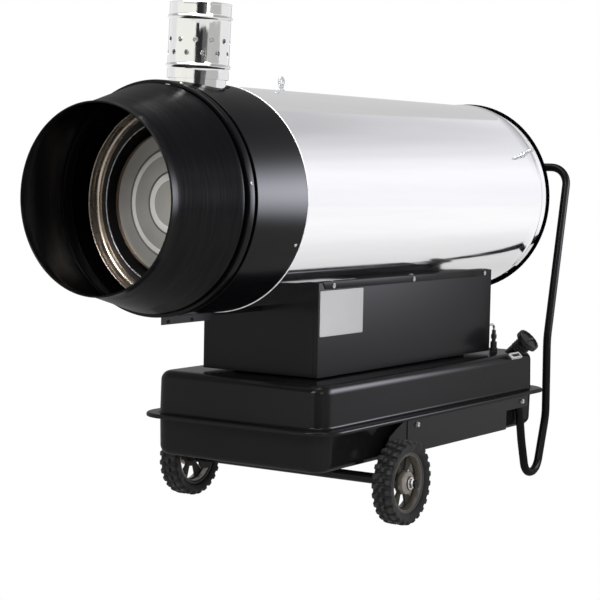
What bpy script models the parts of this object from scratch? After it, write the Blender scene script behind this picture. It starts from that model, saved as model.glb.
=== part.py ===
# Indirect-fired diesel heater on a two-wheeled fuel tank, in metres, +Z up.
# The air outlet faces -Y. A station is a distance back from the outlet lip.
from math import asin, cos, degrees, pi, radians, sin, sqrt, tan

import bmesh
import bpy
from mathutils import Matrix, Vector

# Sheet, gaps and mesh resolution
SHEET = 0.0015
COVER_SHEET = 0.0012
GAP = 0.0003
OVERRUN = 0.004
MERGE = 0.00001
CASING_STEPS = 36
COVER_STEPS = 28
BELLY_STEPS = 14
BELLY_ARC_STEPS = 12
DRUM_STEPS = 20
FLUE_STEPS = 24
SMALL_STEPS = 12
FIT_STEPS = 24
FINEST_BEND = pi / 7
SMOOTH_ANGLE = radians(35)

# Wheels and axle
WHEEL_RADIUS = 0.0982
TYRE_WIDTH = 0.0495
TYRE_LUGS = 14
LUG_DEPTH = 0.0045
RIM_RADIUS = 0.0712
RIM_WALL = 0.0022
HUB_RADIUS = 0.018
HUB_LENGTH = 0.047
RIM_WINDOWS = 6
WHEEL_OUTSIDE_RAIL = 0.0427
WHEEL_STATION = 0.7455
AXLE_RADIUS = 0.0125
STUB_RADIUS = 0.010
RUNNING_FIT = 0.0001
AXLE_NUT_WIDTH = 0.024
AXLE_NUT_LENGTH = 0.013
AXLE_WASHER_RADIUS = 0.019
AXLE_WASHER = 0.0025
AXLE_END = 0.0015
WINDOW_SHARE = 0.6
# Where a lug and its groove start and end, then the tyre's section in shares of its half width and radius.
LUG_PHASE_SHARES = (0, 0.5, 0.56, 0.94)
TYRE_BEAD_SHARE = 0.82
TYRE_SHOULDER_SHARE = 0.93
TYRE_SHOULDER_DROP_SHARE = 0.055
TYRE_CROWN_SHARE = 0.50

# Fuel tank
AXLE_TO_TANK = 0.0383
TANK_LOWER_DEPTH = 0.0983
TANK_UPPER_DEPTH = 0.0996
TANK_FRONT = 0.5043
TANK_LENGTH = 1.0703
TANK_HALF_WIDTH = 0.2365
TANK_CORNER = 0.045
TANK_EDGE = 0.0225
TANK_DRAFT = 0.0015
FLANGE_REACH = 0.0324
FLANGE_ROUND = 0.006
FLANGE_DROP = 0.009
CORNER_STEPS = 4

# Filler, cap, gauge and fuel line
FILLER_X = 0.205
FILLER_INSET = 0.0646
FILLER_LEAN = radians(47)
NECK_RADIUS = 0.021
NECK_WALL = 0.002
NECK_LENGTH = 0.047
NECK_RIBS = 4
NECK_RIB = 0.001
CAP_RADIUS = 0.0325
CAP_HEIGHT = 0.014
CAP_SKIRT = 0.008
CAP_LOBES = 12
CAP_LOBE_DEPTH = 0.0012
CAP_BAR_WIDTH = 0.007
GAUGE_INSET = 0.1156
GAUGE_LENGTH = 0.054
GAUGE_WIDTH = 0.017
GAUGE_HEIGHT = 0.005
GAUGE_FRAME = 0.004
SUCTION_SIDE_INSET = 0.0067
SUCTION_INSET = 0.0936
SUCTION_HEIGHT = 0.056
SUCTION_RADIUS = 0.011
# Radius and height of each step of the fitting, top first.
SUCTION_STEP_SHARES = (
    (0.50, 1.00), (0.50, 0.80), (0.70, 0.80), (0.70, 0.60), (0.50, 0.60), (0.50, 0.45), (0.80, 0.45),
    (0.80, 0.15), (1.00, 0.15), (1.00, 0.00),
)
PIPE_RADIUS = 0.0035
PIPE_BEND = 0.012
DRAIN_INSET = 0.0957
DRAIN_RADIUS = 0.014
DRAIN_HEIGHT = 0.012

# Side rails and axle brackets
RAIL_BEHIND_WHEEL = 0.0945
RAIL_REAR_INSET = 0.0976
RAIL_NOTCH_INSET = 0.2206
RAIL_NOTCH_DROP = 0.0388
RAIL_DROP = 0.0873
RAIL_LIP = 0.014
RAIL_CLEARANCE = 0.0005
BRACKET_PLATE = 0.004
BRACKET_BEHIND_WHEEL = 0.1845
BRACKET_EYE = 0.030
# Points of the bracket's nose ahead of and above the axle, in shares of its height.
BRACKET_NOSE_SHARES = ((0.12, 0.74), (0.38, 0.87), (0.70, 1.00))
RAIL_BOLT_BEHIND_WHEEL = 0.1375
RAIL_BOLT_DROP = 0.0223
BOLT_HEAD_RADIUS = 0.0065
BOLT_HEAD = 0.005
BOLT_SHANK_RADIUS = 0.004

# Handle
HANDLE_TUBE_RADIUS = 0.011
HANDLE_TUBE_WALL = 0.0015
HANDLE_FOOT_INSET = 0.1346
HANDLE_BAR_OVERHANG = 0.1374
HANDLE_BAR_HEIGHT = 0.828
HANDLE_CORNER = 0.050
# Shares of the reach from foot bolt to crossbar, with shares of the bolt's height, then of the crossbar's.
HANDLE_FOOT_SHARES = ((0.053, 0.857), (0.114, 0.495), (0.222, 0), (0.472, 0))
HANDLE_UPRIGHT_SHARES = ((0.646, 0.190), (0.628, 0.440), (1.000, 1.000))
HANDLE_BEND_RADII_SHARES = (0.9, 2.5, 0.85, 0.9, 2.4, 3.0)

# Casing round the air path
PACKER_HEIGHT = 0.0048
FLOOR_TO_AXIS = 0.4028
CASING_RADIUS = 0.2475
CASING_OVERHANG = 0.0154
COVER_HALF_ANGLE = radians(136.6)
COVER_LAP = radians(6)
COVER_BEAD_INSET = 0.045
COVER_BEAD = 0.003
COVER_BEAD_WIDTH = 0.008
RING_STEP = 0.0025
RING_FRONT = 0.2150
RING_REAR = 0.4065
BAND_SHOW = 0.004
BAND_LAP = 0.010
LIP_RADIUS = 0.199
LIP_BEAD = 0.004
COLLAR_WIDTH = 0.028
COLLAR_RISE = 0.0015
CONE_REAR_GAP = 0.0010
KEEL_DROP = 0.019
KEEL_THICKNESS = 0.003
TRIM_RING_STEP = 0.007
TRIM_RING_WIDTH = 0.015
TRIM_RING_LIP = 0.019
SIDE_FLANGE_HEIGHT = 0.0145

# Rear guard
GUARD_RINGS = 4
GUARD_SECTORS = 6
GUARD_BAR = 0.004
GUARD_THICKNESS = 0.0015
GUARD_BOSS_RADIUS = 0.046

# Heat exchanger and combustion chamber
DRUM_DROP = 0.010
AIR_GAP = 0.030
DRUM_JACKET = 0.0355
DRUM_FRONT = 0.2385
DRUM_INNER_FRONT = 0.2566
DRUM_PLATE = 0.2675
DRUM_OVERHANG = 0.0866
CHAMBER_AIR_GAP = 0.024
CHAMBER_FRONT = 0.254
CHAMBER_DISC = 0.272
RIDGE_RADIUS_SHARES = (0.797, 0.475)
RIDGE_HALF_WIDTH = 0.008
RIDGE_HEIGHT = 0.006
BURNER_HOLE = 0.055
CROSSOVER_RADIUS = 0.043
CROSSOVER_INSET = 0.100
CROSSOVER_TURN = radians(7)
SADDLE_STATION = 0.620
SADDLE_HALF_WIDTH = 0.020
SADDLE_THICKNESS = 0.006
LEG_STATION_SHARES = (0.305, 0.885)
LEG_X = 0.090
LEG_WIDTH = 0.050
LEG_THICKNESS = 0.006

# Flue
FLUE_CLOCK = radians(2.2)
FLUE_STATION = 0.330
FLUE_RADIUS = 0.0655
FLUE_WALL = 0.001
FLUE_HOLE_CLEARANCE = 0.005
FLUE_FOOT = -0.012
FLUE_TOP = 0.170
FLUE_SPIGOT_TOP = 0.046
FLUE_BEADS = (0.138, 0.035)
FLUE_BEAD = 0.0035
FLUE_BEAD_HALF_WIDTH = 0.006
FLUE_VENT_RADIUS = 0.006
FLUE_VENTS = 12
FLUE_VENT_ROWS = ((0.0895, radians(29.3)), (0.062, radians(13.9)))

# Burner
BLAST_TUBE_LENGTH = 0.100
BURNER_FLANGE_RADIUS = 0.078
BURNER_FLANGE = 0.005
BURNER_BODY_RADIUS = 0.070
BURNER_BODY_LENGTH = 0.120
BURNER_NOSE = 0.030
BURNER_TO_FAN = 0.1294

# Fan and motor
FAN_TIP_GAP = 0.0255
FAN_HUB_RADIUS = 0.045
FAN_HUB_LENGTH = 0.040
FAN_BLADES = 5
FAN_BLADE = 0.003
FAN_CHORD_ROOT = 0.070
FAN_CHORD_TIP = 0.105
FAN_PITCH_ROOT = radians(50)
FAN_PITCH_TIP = radians(24)
FAN_INSET = 0.215
FAN_TO_MOTOR = 0.014
SHAFT_RADIUS = 0.008
SHAFT_DEPTH = 0.050
MOTOR_RADIUS = 0.060
MOTOR_LENGTH = 0.135
MOTOR_BEVEL = 0.010
MOTOR_FINS = 2
MOTOR_FIN = 0.004
SPIDER_INSET = 0.050
SPIDER_WIDTH = 0.022
SPIDER_THICKNESS = 0.004
SPIDER_RING = 0.005

# Cabinet under the casing
CABINET_SIDE_INSET = 0.0878
CABINET_FRONT_INSET = 0.0942
CABINET_REAR_INSET = 0.1315
CABINET_RETURN = 0.012
PACKER_STATION_SHARES = (0.12, 0.88)
PACKER_WIDTH = 0.030
PACKER_END_INSET = 0.0297

# Controls on the cabinet's rear panel
CONTROL_PLATE_WIDTH = 0.200
CONTROL_PLATE_HEIGHT = 0.070
CONTROL_PLATE_RISE = 0.0808
CONTROL_PLATE = 0.002
KNOB_X = -0.060
KNOB_RADIUS = 0.019
KNOB_HEIGHT = 0.018
KNOB_STEM = 0.004
RESET_X = -0.010
RESET_RADIUS = 0.008
RESET_HEIGHT = 0.007
LAMP_X = 0.030
LAMP_RADIUS = 0.009
LAMP_HEIGHT = 0.008
GLAND_X = 0.070
GLAND_RADIUS = 0.013
GLAND_BORE = 0.0045
GLAND_HEIGHT = 0.022

# Units inside the cabinet
PUMP_INSET = 0.093
PUMP_SIDE_INSET = 0.0797
PUMP_SIZE = (0.070, 0.080, 0.075)
PUMP_COVER_RADIUS = 0.026
PUMP_COVER = 0.018
TRANSFORMER_INSET = 0.263
TRANSFORMER_SIDE_INSET = 0.0897
TRANSFORMER_SIZE = (0.080, 0.110, 0.085)
CONTROL_UNIT_INSET = 0.103
CONTROL_UNIT_SIDE_INSET = 0.0797
CONTROL_UNIT_SIZE = (0.070, 0.095, 0.055)
UNIT_BEVEL = 0.004

# Lifting eyes
EYE_STATION_FRONT = 0.668
EYE_REAR_INSET = 0.101
EYE_REAR_ANGLE = radians(62)
EYE_HEIGHT = 0.022
EYE_RING_RADIUS = 0.009
EYE_WIRE_RADIUS = 0.0035
EYE_COLLAR_RADIUS = 0.0085
EYE_COLLAR = 0.003

# Heights that follow from the sizes above
TANK_BOTTOM = WHEEL_RADIUS + AXLE_TO_TANK
FLANGE_Z = TANK_BOTTOM + TANK_LOWER_DEPTH
TANK_TOP = FLANGE_Z + TANK_UPPER_DEPTH
FLOOR_Z = TANK_TOP + PACKER_HEIGHT
AXIS_Z = FLOOR_Z + FLOOR_TO_AXIS
DRUM_Z = AXIS_Z - DRUM_DROP
CONTROL_PLATE_Z = FLOOR_Z + CONTROL_PLATE_RISE
RAIL_TOP = FLANGE_Z - SHEET - 2 * GAP
RAIL_BOTTOM = FLANGE_Z - RAIL_DROP
RAIL_NOTCH_Z = FLANGE_Z - RAIL_NOTCH_DROP
RAIL_BOLT_Z = FLANGE_Z - RAIL_BOLT_DROP

# Stations that follow: tank, casing and cabinet share the tank's length
TANK_REAR = TANK_FRONT + TANK_LENGTH
FILLER_STATION = TANK_REAR - FILLER_INSET
GAUGE_STATION = TANK_REAR - GAUGE_INSET
SUCTION_STATION = TANK_REAR - SUCTION_INSET
DRAIN_STATION = TANK_FRONT + DRAIN_INSET
CABINET_FRONT = TANK_FRONT + CABINET_FRONT_INSET
CABINET_REAR = TANK_REAR - CABINET_REAR_INSET
CABINET_LENGTH = CABINET_REAR - CABINET_FRONT
PUMP_STATION = CABINET_REAR - PUMP_INSET
TRANSFORMER_STATION = CABINET_REAR - TRANSFORMER_INSET
CONTROL_UNIT_STATION = CABINET_REAR - CONTROL_UNIT_INSET
RAIL_FRONT = WHEEL_STATION + RAIL_BEHIND_WHEEL
BRACKET_REAR = WHEEL_STATION + BRACKET_BEHIND_WHEEL
RAIL_BOLT_STATION = WHEEL_STATION + RAIL_BOLT_BEHIND_WHEEL
RAIL_REAR = TANK_REAR - RAIL_REAR_INSET
RAIL_NOTCH = TANK_REAR - RAIL_NOTCH_INSET
HANDLE_FOOT_STATION = TANK_REAR - HANDLE_FOOT_INSET
HANDLE_BAR_STATION = TANK_REAR + HANDLE_BAR_OVERHANG
CASING_LENGTH = TANK_REAR + CASING_OVERHANG
COVER_BEAD_STATION = CASING_LENGTH - COVER_BEAD_INSET
EYE_STATION_REAR = CASING_LENGTH - EYE_REAR_INSET
SPIDER_STATION = CASING_LENGTH - SPIDER_INSET
FAN_STATION = CASING_LENGTH - FAN_INSET
BURNER_REAR = FAN_STATION - FAN_HUB_LENGTH / 2 - BURNER_TO_FAN
CHAMBER_REAR = BURNER_REAR - BURNER_BODY_LENGTH - BURNER_FLANGE - 2 * GAP
DRUM_REAR = CHAMBER_REAR + DRUM_OVERHANG
CROSSOVER_STATION = CHAMBER_REAR - CROSSOVER_INSET
SHELL_FRONT = RING_REAR + BAND_SHOW + GAP
FRONT_Y = -(HANDLE_BAR_STATION + HANDLE_TUBE_RADIUS) / 2

# Widths and radii that follow
BELLY_RADIUS = (CASING_RADIUS - COVER_SHEET) * cos(COVER_HALF_ANGLE / COVER_STEPS) - GAP
RING_RADIUS = CASING_RADIUS + RING_STEP
TRIM_RING_RADIUS = CASING_RADIUS + TRIM_RING_STEP
DRUM_RADIUS = CASING_RADIUS - AIR_GAP
DRUM_INNER_RADIUS = DRUM_RADIUS - DRUM_JACKET
CHAMBER_RADIUS = DRUM_INNER_RADIUS - CHAMBER_AIR_GAP
FAN_TIP_RADIUS = CASING_RADIUS - FAN_TIP_GAP
CABINET_HALF_WIDTH = CASING_RADIUS - CABINET_SIDE_INSET
PACKER_HALF_LENGTH = CABINET_HALF_WIDTH - PACKER_END_INSET
SUCTION_X = CABINET_HALF_WIDTH - SUCTION_SIDE_INSET
PUMP_X = CABINET_HALF_WIDTH - PUMP_SIDE_INSET
TRANSFORMER_X = TRANSFORMER_SIDE_INSET - CABINET_HALF_WIDTH
CONTROL_UNIT_X = CONTROL_UNIT_SIDE_INSET - CABINET_HALF_WIDTH
HANDLE_X = TANK_HALF_WIDTH + RAIL_CLEARANCE + HANDLE_TUBE_RADIUS
RAIL_X = HANDLE_X + HANDLE_TUBE_RADIUS + GAP
WHEEL_TRACK_HALF = RAIL_X + WHEEL_OUTSIDE_RAIL

# Turns that lay a flat or turned shape along another axis
ALONG_Y = (-pi / 2, 0, 0)
ACROSS = (pi / 2, 0, 0)
SIDEWAYS = (pi / 2, 0, pi / 2)


def clear_scene():
    for obj in list(bpy.data.objects):
        bpy.data.objects.remove(obj, do_unlink=True)


clear_scene()
heater = bpy.data.collections.new("diesel_jet_heater")
cutters = bpy.data.collections.new("cutters")
bpy.context.scene.collection.children.link(heater)
bpy.context.scene.collection.children.link(cutters)


def material(name, color, roughness, metallic):
    made = bpy.data.materials.new(name)
    made.use_nodes = True
    shader = made.node_tree.nodes["Principled BSDF"]
    shader.inputs["Base Color"].default_value = (*color, 1)
    shader.inputs["Roughness"].default_value = roughness
    shader.inputs["Metallic"].default_value = metallic
    made.diffuse_color = (*color, 1)
    return made


black_paint = material("black_paint", (0.035, 0.034, 0.038), 0.35, 0.0)
mirror_steel = material("mirror_steel", (0.80, 0.80, 0.82), 0.12, 1.0)
drum_steel = material("drum_steel", (0.36, 0.31, 0.24), 0.45, 0.9)
chamber_steel = material("chamber_steel", (0.30, 0.24, 0.19), 0.5, 0.9)
flue_steel = material("flue_steel", (0.62, 0.63, 0.66), 0.3, 1.0)
zinc = material("zinc", (0.70, 0.70, 0.72), 0.3, 1.0)
tyre_rubber = material("tyre_rubber", (0.06, 0.06, 0.062), 0.8, 0.0)
rim_paint = material("rim_paint", (0.20, 0.19, 0.17), 0.5, 0.2)
dark_plastic = material("dark_plastic", (0.03, 0.03, 0.033), 0.5, 0.0)
neck_rubber = material("neck_rubber", (0.025, 0.025, 0.028), 0.6, 0.0)
motor_grey = material("motor_grey", (0.28, 0.29, 0.30), 0.5, 0.3)
lamp_red = material("lamp_red", (0.55, 0.03, 0.02), 0.2, 0.0)
aluminium = material("aluminium", (0.60, 0.60, 0.60), 0.4, 1.0)


# Helpers that put a shape in the scene

def at(x, station, z):
    return Vector((x, station + FRONT_Y, z))


def put(obj, location, rotation=(0, 0, 0)):
    obj.location = location
    obj.rotation_euler = rotation
    return obj


def new_object(name, mesh, finish):
    obj = bpy.data.objects.new(name, mesh)
    if finish is None:
        cutters.objects.link(obj)
        obj.hide_render = True
        obj.display_type = "WIRE"
    else:
        heater.objects.link(obj)
        mesh.materials.append(finish)
        mesh.shade_smooth()
        if mesh.polygons:
            mesh.set_sharp_from_angle(angle=SMOOTH_ANGLE)
    return obj


def from_bmesh(name, bm, finish):
    mesh = bpy.data.meshes.new(name)
    bm.to_mesh(mesh)
    bm.free()
    return new_object(name, mesh, finish)


def solidify(obj, wall):
    shell = obj.modifiers.new("wall", "SOLIDIFY")
    shell.thickness = wall
    shell.offset = -1
    shell.use_even_offset = True


def turned(name, profile, finish=None, steps=DRUM_STEPS, closed=False, wall=0, start=0, sweep=2 * pi):
    bm = bmesh.new()
    points = [bm.verts.new((r * cos(start), r * sin(start), h)) for r, h in profile]
    for a, b in zip(points, points[1:]):
        bm.edges.new((a, b))
    if closed:
        bm.edges.new((points[-1], points[0]))
    obj = from_bmesh(name, bm, finish)
    screw = obj.modifiers.new("turn", "SCREW")
    screw.angle = sweep
    screw.steps = steps
    screw.render_steps = steps
    screw.use_merge_vertices = True
    screw.merge_threshold = MERGE
    screw.use_smooth_shade = True
    if wall:
        solidify(obj, wall)
    return obj


def as_mesh(name, curve, finish):
    rough = bpy.data.objects.new(name + "_curve", curve)
    bpy.context.scene.collection.objects.link(rough)
    graph = bpy.context.evaluated_depsgraph_get()
    mesh = bpy.data.meshes.new_from_object(rough.evaluated_get(graph))
    bpy.data.objects.remove(rough, do_unlink=True)
    bm = bmesh.new()
    bm.from_mesh(mesh)
    bmesh.ops.remove_doubles(bm, verts=bm.verts, dist=MERGE)
    return from_bmesh(name, bm, finish)


def flat(name, loops, thickness, finish=None):
    curve = bpy.data.curves.new(name, "CURVE")
    curve.dimensions = "2D"
    curve.fill_mode = "BOTH"
    curve.extrude = thickness / 2
    for loop in loops:
        spline = curve.splines.new("POLY")
        spline.points.add(len(loop) - 1)
        spline.use_cyclic_u = True
        for point, (u, v) in zip(spline.points, loop):
            point.co = (u, v, 0, 1)
    return as_mesh(name, curve, finish)


def bar(name, path, radius, finish=None, resolution=2, wall=0):
    curve = bpy.data.curves.new(name, "CURVE")
    curve.dimensions = "3D"
    curve.bevel_depth = radius
    curve.bevel_resolution = resolution
    curve.use_fill_caps = not wall
    spline = curve.splines.new("POLY")
    spline.points.add(len(path) - 1)
    for point, place in zip(spline.points, path):
        point.co = (*place, 1)
    obj = as_mesh(name, curve, finish)
    if wall:
        solidify(obj, wall)
    return obj


def block(name, size, finish=None, bevel=0):
    bm = bmesh.new()
    bmesh.ops.create_cube(bm, size=1, matrix=Matrix.Diagonal((*size, 1)))
    obj = from_bmesh(name, bm, finish)
    if bevel:
        edge = obj.modifiers.new("edges", "BEVEL")
        edge.width = bevel
        edge.segments = 2
    return obj


def disc_stack(name, profile, finish=None, steps=SMALL_STEPS):
    """A solid turned from (radius, height) pairs, highest first."""
    closed = [(0, profile[0][1]), *profile, (0, profile[-1][1])]
    return turned(name, closed, finish, steps)


def cylinder(name, radius, low, high, steps=DRUM_STEPS):
    return disc_stack(name, [(radius, high), (radius, low)], None, steps)


def cut(obj, *tools):
    for tool in tools:
        step = obj.modifiers.new("cut_" + tool.name, "BOOLEAN")
        step.operation = "DIFFERENCE"
        step.object = tool
    return obj


def fuse(obj, *tools):
    for tool in tools:
        step = obj.modifiers.new("join_" + tool.name, "BOOLEAN")
        step.operation = "UNION"
        step.object = tool
    return obj


def inside_fit(radius, steps):
    """Largest radius that clears the flats of a faceted bore."""
    return radius * cos(pi / steps) - GAP


def outside_fit(radius, steps):
    """Smallest faceted bore whose flats clear a round of this radius."""
    return (radius + GAP) / cos(pi / steps)


def arc(centre, radius, start, end, steps):
    turns = [start + (end - start) * k / steps for k in range(steps + 1)]
    return [(centre[0] + radius * cos(t), centre[1] + radius * sin(t)) for t in turns]


def circle(centre, radius, steps=SMALL_STEPS):
    return arc(centre, radius, 0, 2 * pi, steps)[:-1]


def rounded_path(corners, radii):
    path = [corners[0]]
    for before, corner, after, radius in zip(corners, corners[1:], corners[2:], radii):
        back = (before - corner).normalized()
        ahead = (after - corner).normalized()
        half = back.angle(ahead) / 2
        centre = corner + (back + ahead).normalized() * radius / sin(half)
        first = (corner + back * radius / tan(half) - centre).normalized()
        last = (corner + ahead * radius / tan(half) - centre).normalized()
        steps = max(1, round(first.angle(last) / FINEST_BEND))
        path += [centre + first.slerp(last, k / steps) * radius for k in range(steps + 1)]
    return path + [corners[-1]]


# Air casing

def belly_cutter(name, radius):
    """The casing's outer cylinder, which what sits under it is cut to."""
    cutter = cylinder(name, radius, 0, CASING_LENGTH, CASING_STEPS)
    return put(cutter, at(0, 0, AXIS_Z), ALONG_Y)


def cone_radius(station):
    inner = LIP_RADIUS - 2 * LIP_BEAD + COVER_SHEET
    return inner + (RING_RADIUS - inner) * (station - LIP_BEAD) / (RING_FRONT - LIP_BEAD)


def outlet_cone():
    rear = RING_FRONT - CONE_REAR_GAP
    turn = pi / 2
    curl_radius = LIP_BEAD - COVER_SHEET / cos(turn / 2)
    curl = arc((LIP_RADIUS - LIP_BEAD, LIP_BEAD), curl_radius, -pi, -pi + 3 * turn, 3)
    profile = [(cone_radius(rear), rear), *curl]
    cone = turned("outlet_cone", profile, black_paint, CASING_STEPS, wall=COVER_SHEET)
    return put(cone, at(0, 0, AXIS_Z), ALONG_Y)


def seam_collar():
    front = RING_FRONT - COLLAR_WIDTH / 2
    rear = RING_FRONT + COLLAR_WIDTH / 2
    rise = COLLAR_RISE + GAP
    profile = [
        (RING_RADIUS + rise, rear), (RING_RADIUS + rise, RING_FRONT), (cone_radius(front) + rise, front),
    ]
    collar = turned("seam_collar", profile, black_paint, CASING_STEPS, wall=COLLAR_RISE)
    return put(collar, at(0, 0, AXIS_Z), ALONG_Y)


def keel(name, radius, front, rear):
    """Hanging seam flange along the bottom of a casing section."""
    length = rear - front
    height = KEEL_DROP + SHEET / 2
    strip = block(name, (KEEL_THICKNESS, length, height))
    return put(strip, at(0, front + length / 2, AXIS_Z - radius + SHEET / 2 - height / 2))


def front_ring():
    profile = [(RING_RADIUS, RING_REAR), (RING_RADIUS, RING_FRONT)]
    ring = turned("front_ring", profile, black_paint, CASING_STEPS, wall=SHEET)
    put(ring, at(0, 0, AXIS_Z), ALONG_Y)
    reach = RING_RADIUS + OVERRUN
    hole = cylinder("flue_hole_cutter", FLUE_RADIUS + FLUE_HOLE_CLEARANCE, CASING_RADIUS / 2, reach)
    put(hole, at(0, FLUE_STATION, AXIS_Z), (0, FLUE_CLOCK, 0))
    collar_end = RING_FRONT + COLLAR_WIDTH / 2
    fuse(ring, keel("front_keel", RING_RADIUS, collar_end + GAP, RING_REAR))
    return cut(ring, hole)


def joint_band():
    outer = RING_RADIUS - SHEET - GAP
    rear = RING_REAR + BAND_SHOW
    profile = [(outer, rear), (outer, RING_REAR - BAND_LAP)]
    band = turned("joint_band", profile, mirror_steel, CASING_STEPS, wall=SHEET)
    return put(band, at(0, 0, AXIS_Z), ALONG_Y)


def upper_shell():
    rear = CASING_LENGTH - SHEET - GAP
    profile = [
        (CASING_RADIUS, rear),
        (CASING_RADIUS, COVER_BEAD_STATION + COVER_BEAD_WIDTH),
        (CASING_RADIUS + COVER_BEAD, COVER_BEAD_STATION),
        (CASING_RADIUS, COVER_BEAD_STATION - COVER_BEAD_WIDTH),
        (CASING_RADIUS, SHELL_FRONT),
    ]
    start = -pi / 2 - COVER_HALF_ANGLE
    shell = turned("upper_shell", profile, mirror_steel, COVER_STEPS, wall=COVER_SHEET,
                   start=start, sweep=2 * COVER_HALF_ANGLE)
    return put(shell, at(0, 0, AXIS_Z), ALONG_Y)


def side_flange(name, side):
    """Strip that hangs beside the cabinet and takes its screws."""
    x_inner = CABINET_HALF_WIDTH + GAP
    root = AXIS_Z - sqrt(BELLY_RADIUS ** 2 - (x_inner + SHEET) ** 2)
    low = root - SIDE_FLANGE_HEIGHT
    front = CABINET_FRONT + CABINET_RETURN
    rear = CABINET_REAR - CABINET_RETURN
    high = root + SHEET
    outline = [
        (front + SIDE_FLANGE_HEIGHT, low), (rear - SIDE_FLANGE_HEIGHT, low),
        (rear, high), (front, high),
    ]
    strip = flat(name, [outline], SHEET)
    return put(strip, at(side * (x_inner + SHEET / 2), 0, 0), SIDEWAYS)


def lower_shell():
    start = -pi / 2 + COVER_HALF_ANGLE - COVER_LAP
    sweep = 2 * (pi - COVER_HALF_ANGLE + COVER_LAP)
    profile = [(BELLY_RADIUS, CASING_LENGTH - SHEET - GAP), (BELLY_RADIUS, SHELL_FRONT)]
    shell = turned("lower_shell", profile, mirror_steel, BELLY_STEPS, wall=SHEET, start=start,
                   sweep=sweep)
    put(shell, at(0, 0, AXIS_Z), ALONG_Y)
    fuse(shell, keel("lower_keel", BELLY_RADIUS, SHELL_FRONT, CABINET_FRONT - GAP))
    return fuse(shell, side_flange("flange_right", 1), side_flange("flange_left", -1))


def rear_trim_ring():
    front = CASING_LENGTH - TRIM_RING_WIDTH
    inner = outside_fit(CASING_RADIUS, CASING_STEPS)
    profile = [
        (TRIM_RING_RADIUS - TRIM_RING_LIP, CASING_LENGTH), (TRIM_RING_RADIUS, CASING_LENGTH),
        (TRIM_RING_RADIUS, front), (inner, front),
    ]
    ring = turned("rear_trim_ring", profile, black_paint, CASING_STEPS, wall=SHEET)
    return put(ring, at(0, 0, AXIS_Z), ALONG_Y)


def rear_guard():
    """Stamped guard: a rim, rings and spokes left between arc slots."""
    outer = TRIM_RING_RADIUS - TRIM_RING_LIP - GAP
    pitch = (outer - GUARD_BAR - GUARD_BOSS_RADIUS) / GUARD_RINGS
    loops = [circle((0, 0), outer, CASING_STEPS)]
    for ring in range(GUARD_RINGS):
        low = GUARD_BOSS_RADIUS + ring * pitch + GUARD_BAR / 2
        high = low + pitch - GUARD_BAR / 2
        steps = 3 + ring
        for sector in range(GUARD_SECTORS):
            middle = 2 * pi * sector / GUARD_SECTORS
            far = pi / GUARD_SECTORS - asin(GUARD_BAR / 2 / high)
            near = pi / GUARD_SECTORS - asin(GUARD_BAR / 2 / low)
            loops.append(arc((0, 0), high, middle - far, middle + far, steps)
                         + arc((0, 0), low, middle + near, middle - near, steps))
    guard = flat("rear_guard", loops, GUARD_THICKNESS, zinc)
    return put(guard, at(0, CASING_LENGTH - GUARD_THICKNESS / 2, AXIS_Z), ACROSS)


# Heat exchanger, chamber and flue

def radial(obj, station, height, turn=0):
    return put(obj, at(0, station, height), (0, turn, 0))


def drum_leg(name, station, side):
    """Foot of the drum, cut to sit inside the lower shell."""
    height = AXIS_Z - DRUM_Z + CASING_RADIUS
    leg = block(name, (LEG_WIDTH, LEG_THICKNESS, height))
    put(leg, at(side * LEG_X, station, AXIS_Z - height / 2))
    seat = cylinder(name + "_seat", inside_fit(BELLY_RADIUS - SHEET, CASING_STEPS), 0, CASING_LENGTH, CASING_STEPS)
    put(seat, at(0, 0, AXIS_Z), ALONG_Y)
    trim = leg.modifiers.new("seat", "BOOLEAN")
    trim.operation = "INTERSECT"
    trim.object = seat
    bore = cylinder(name + "_bore", DRUM_RADIUS - SHEET / 2, DRUM_PLATE, DRUM_REAR - SHEET / 2)
    put(bore, at(0, 0, DRUM_Z), ALONG_Y)
    return cut(leg, bore)


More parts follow.
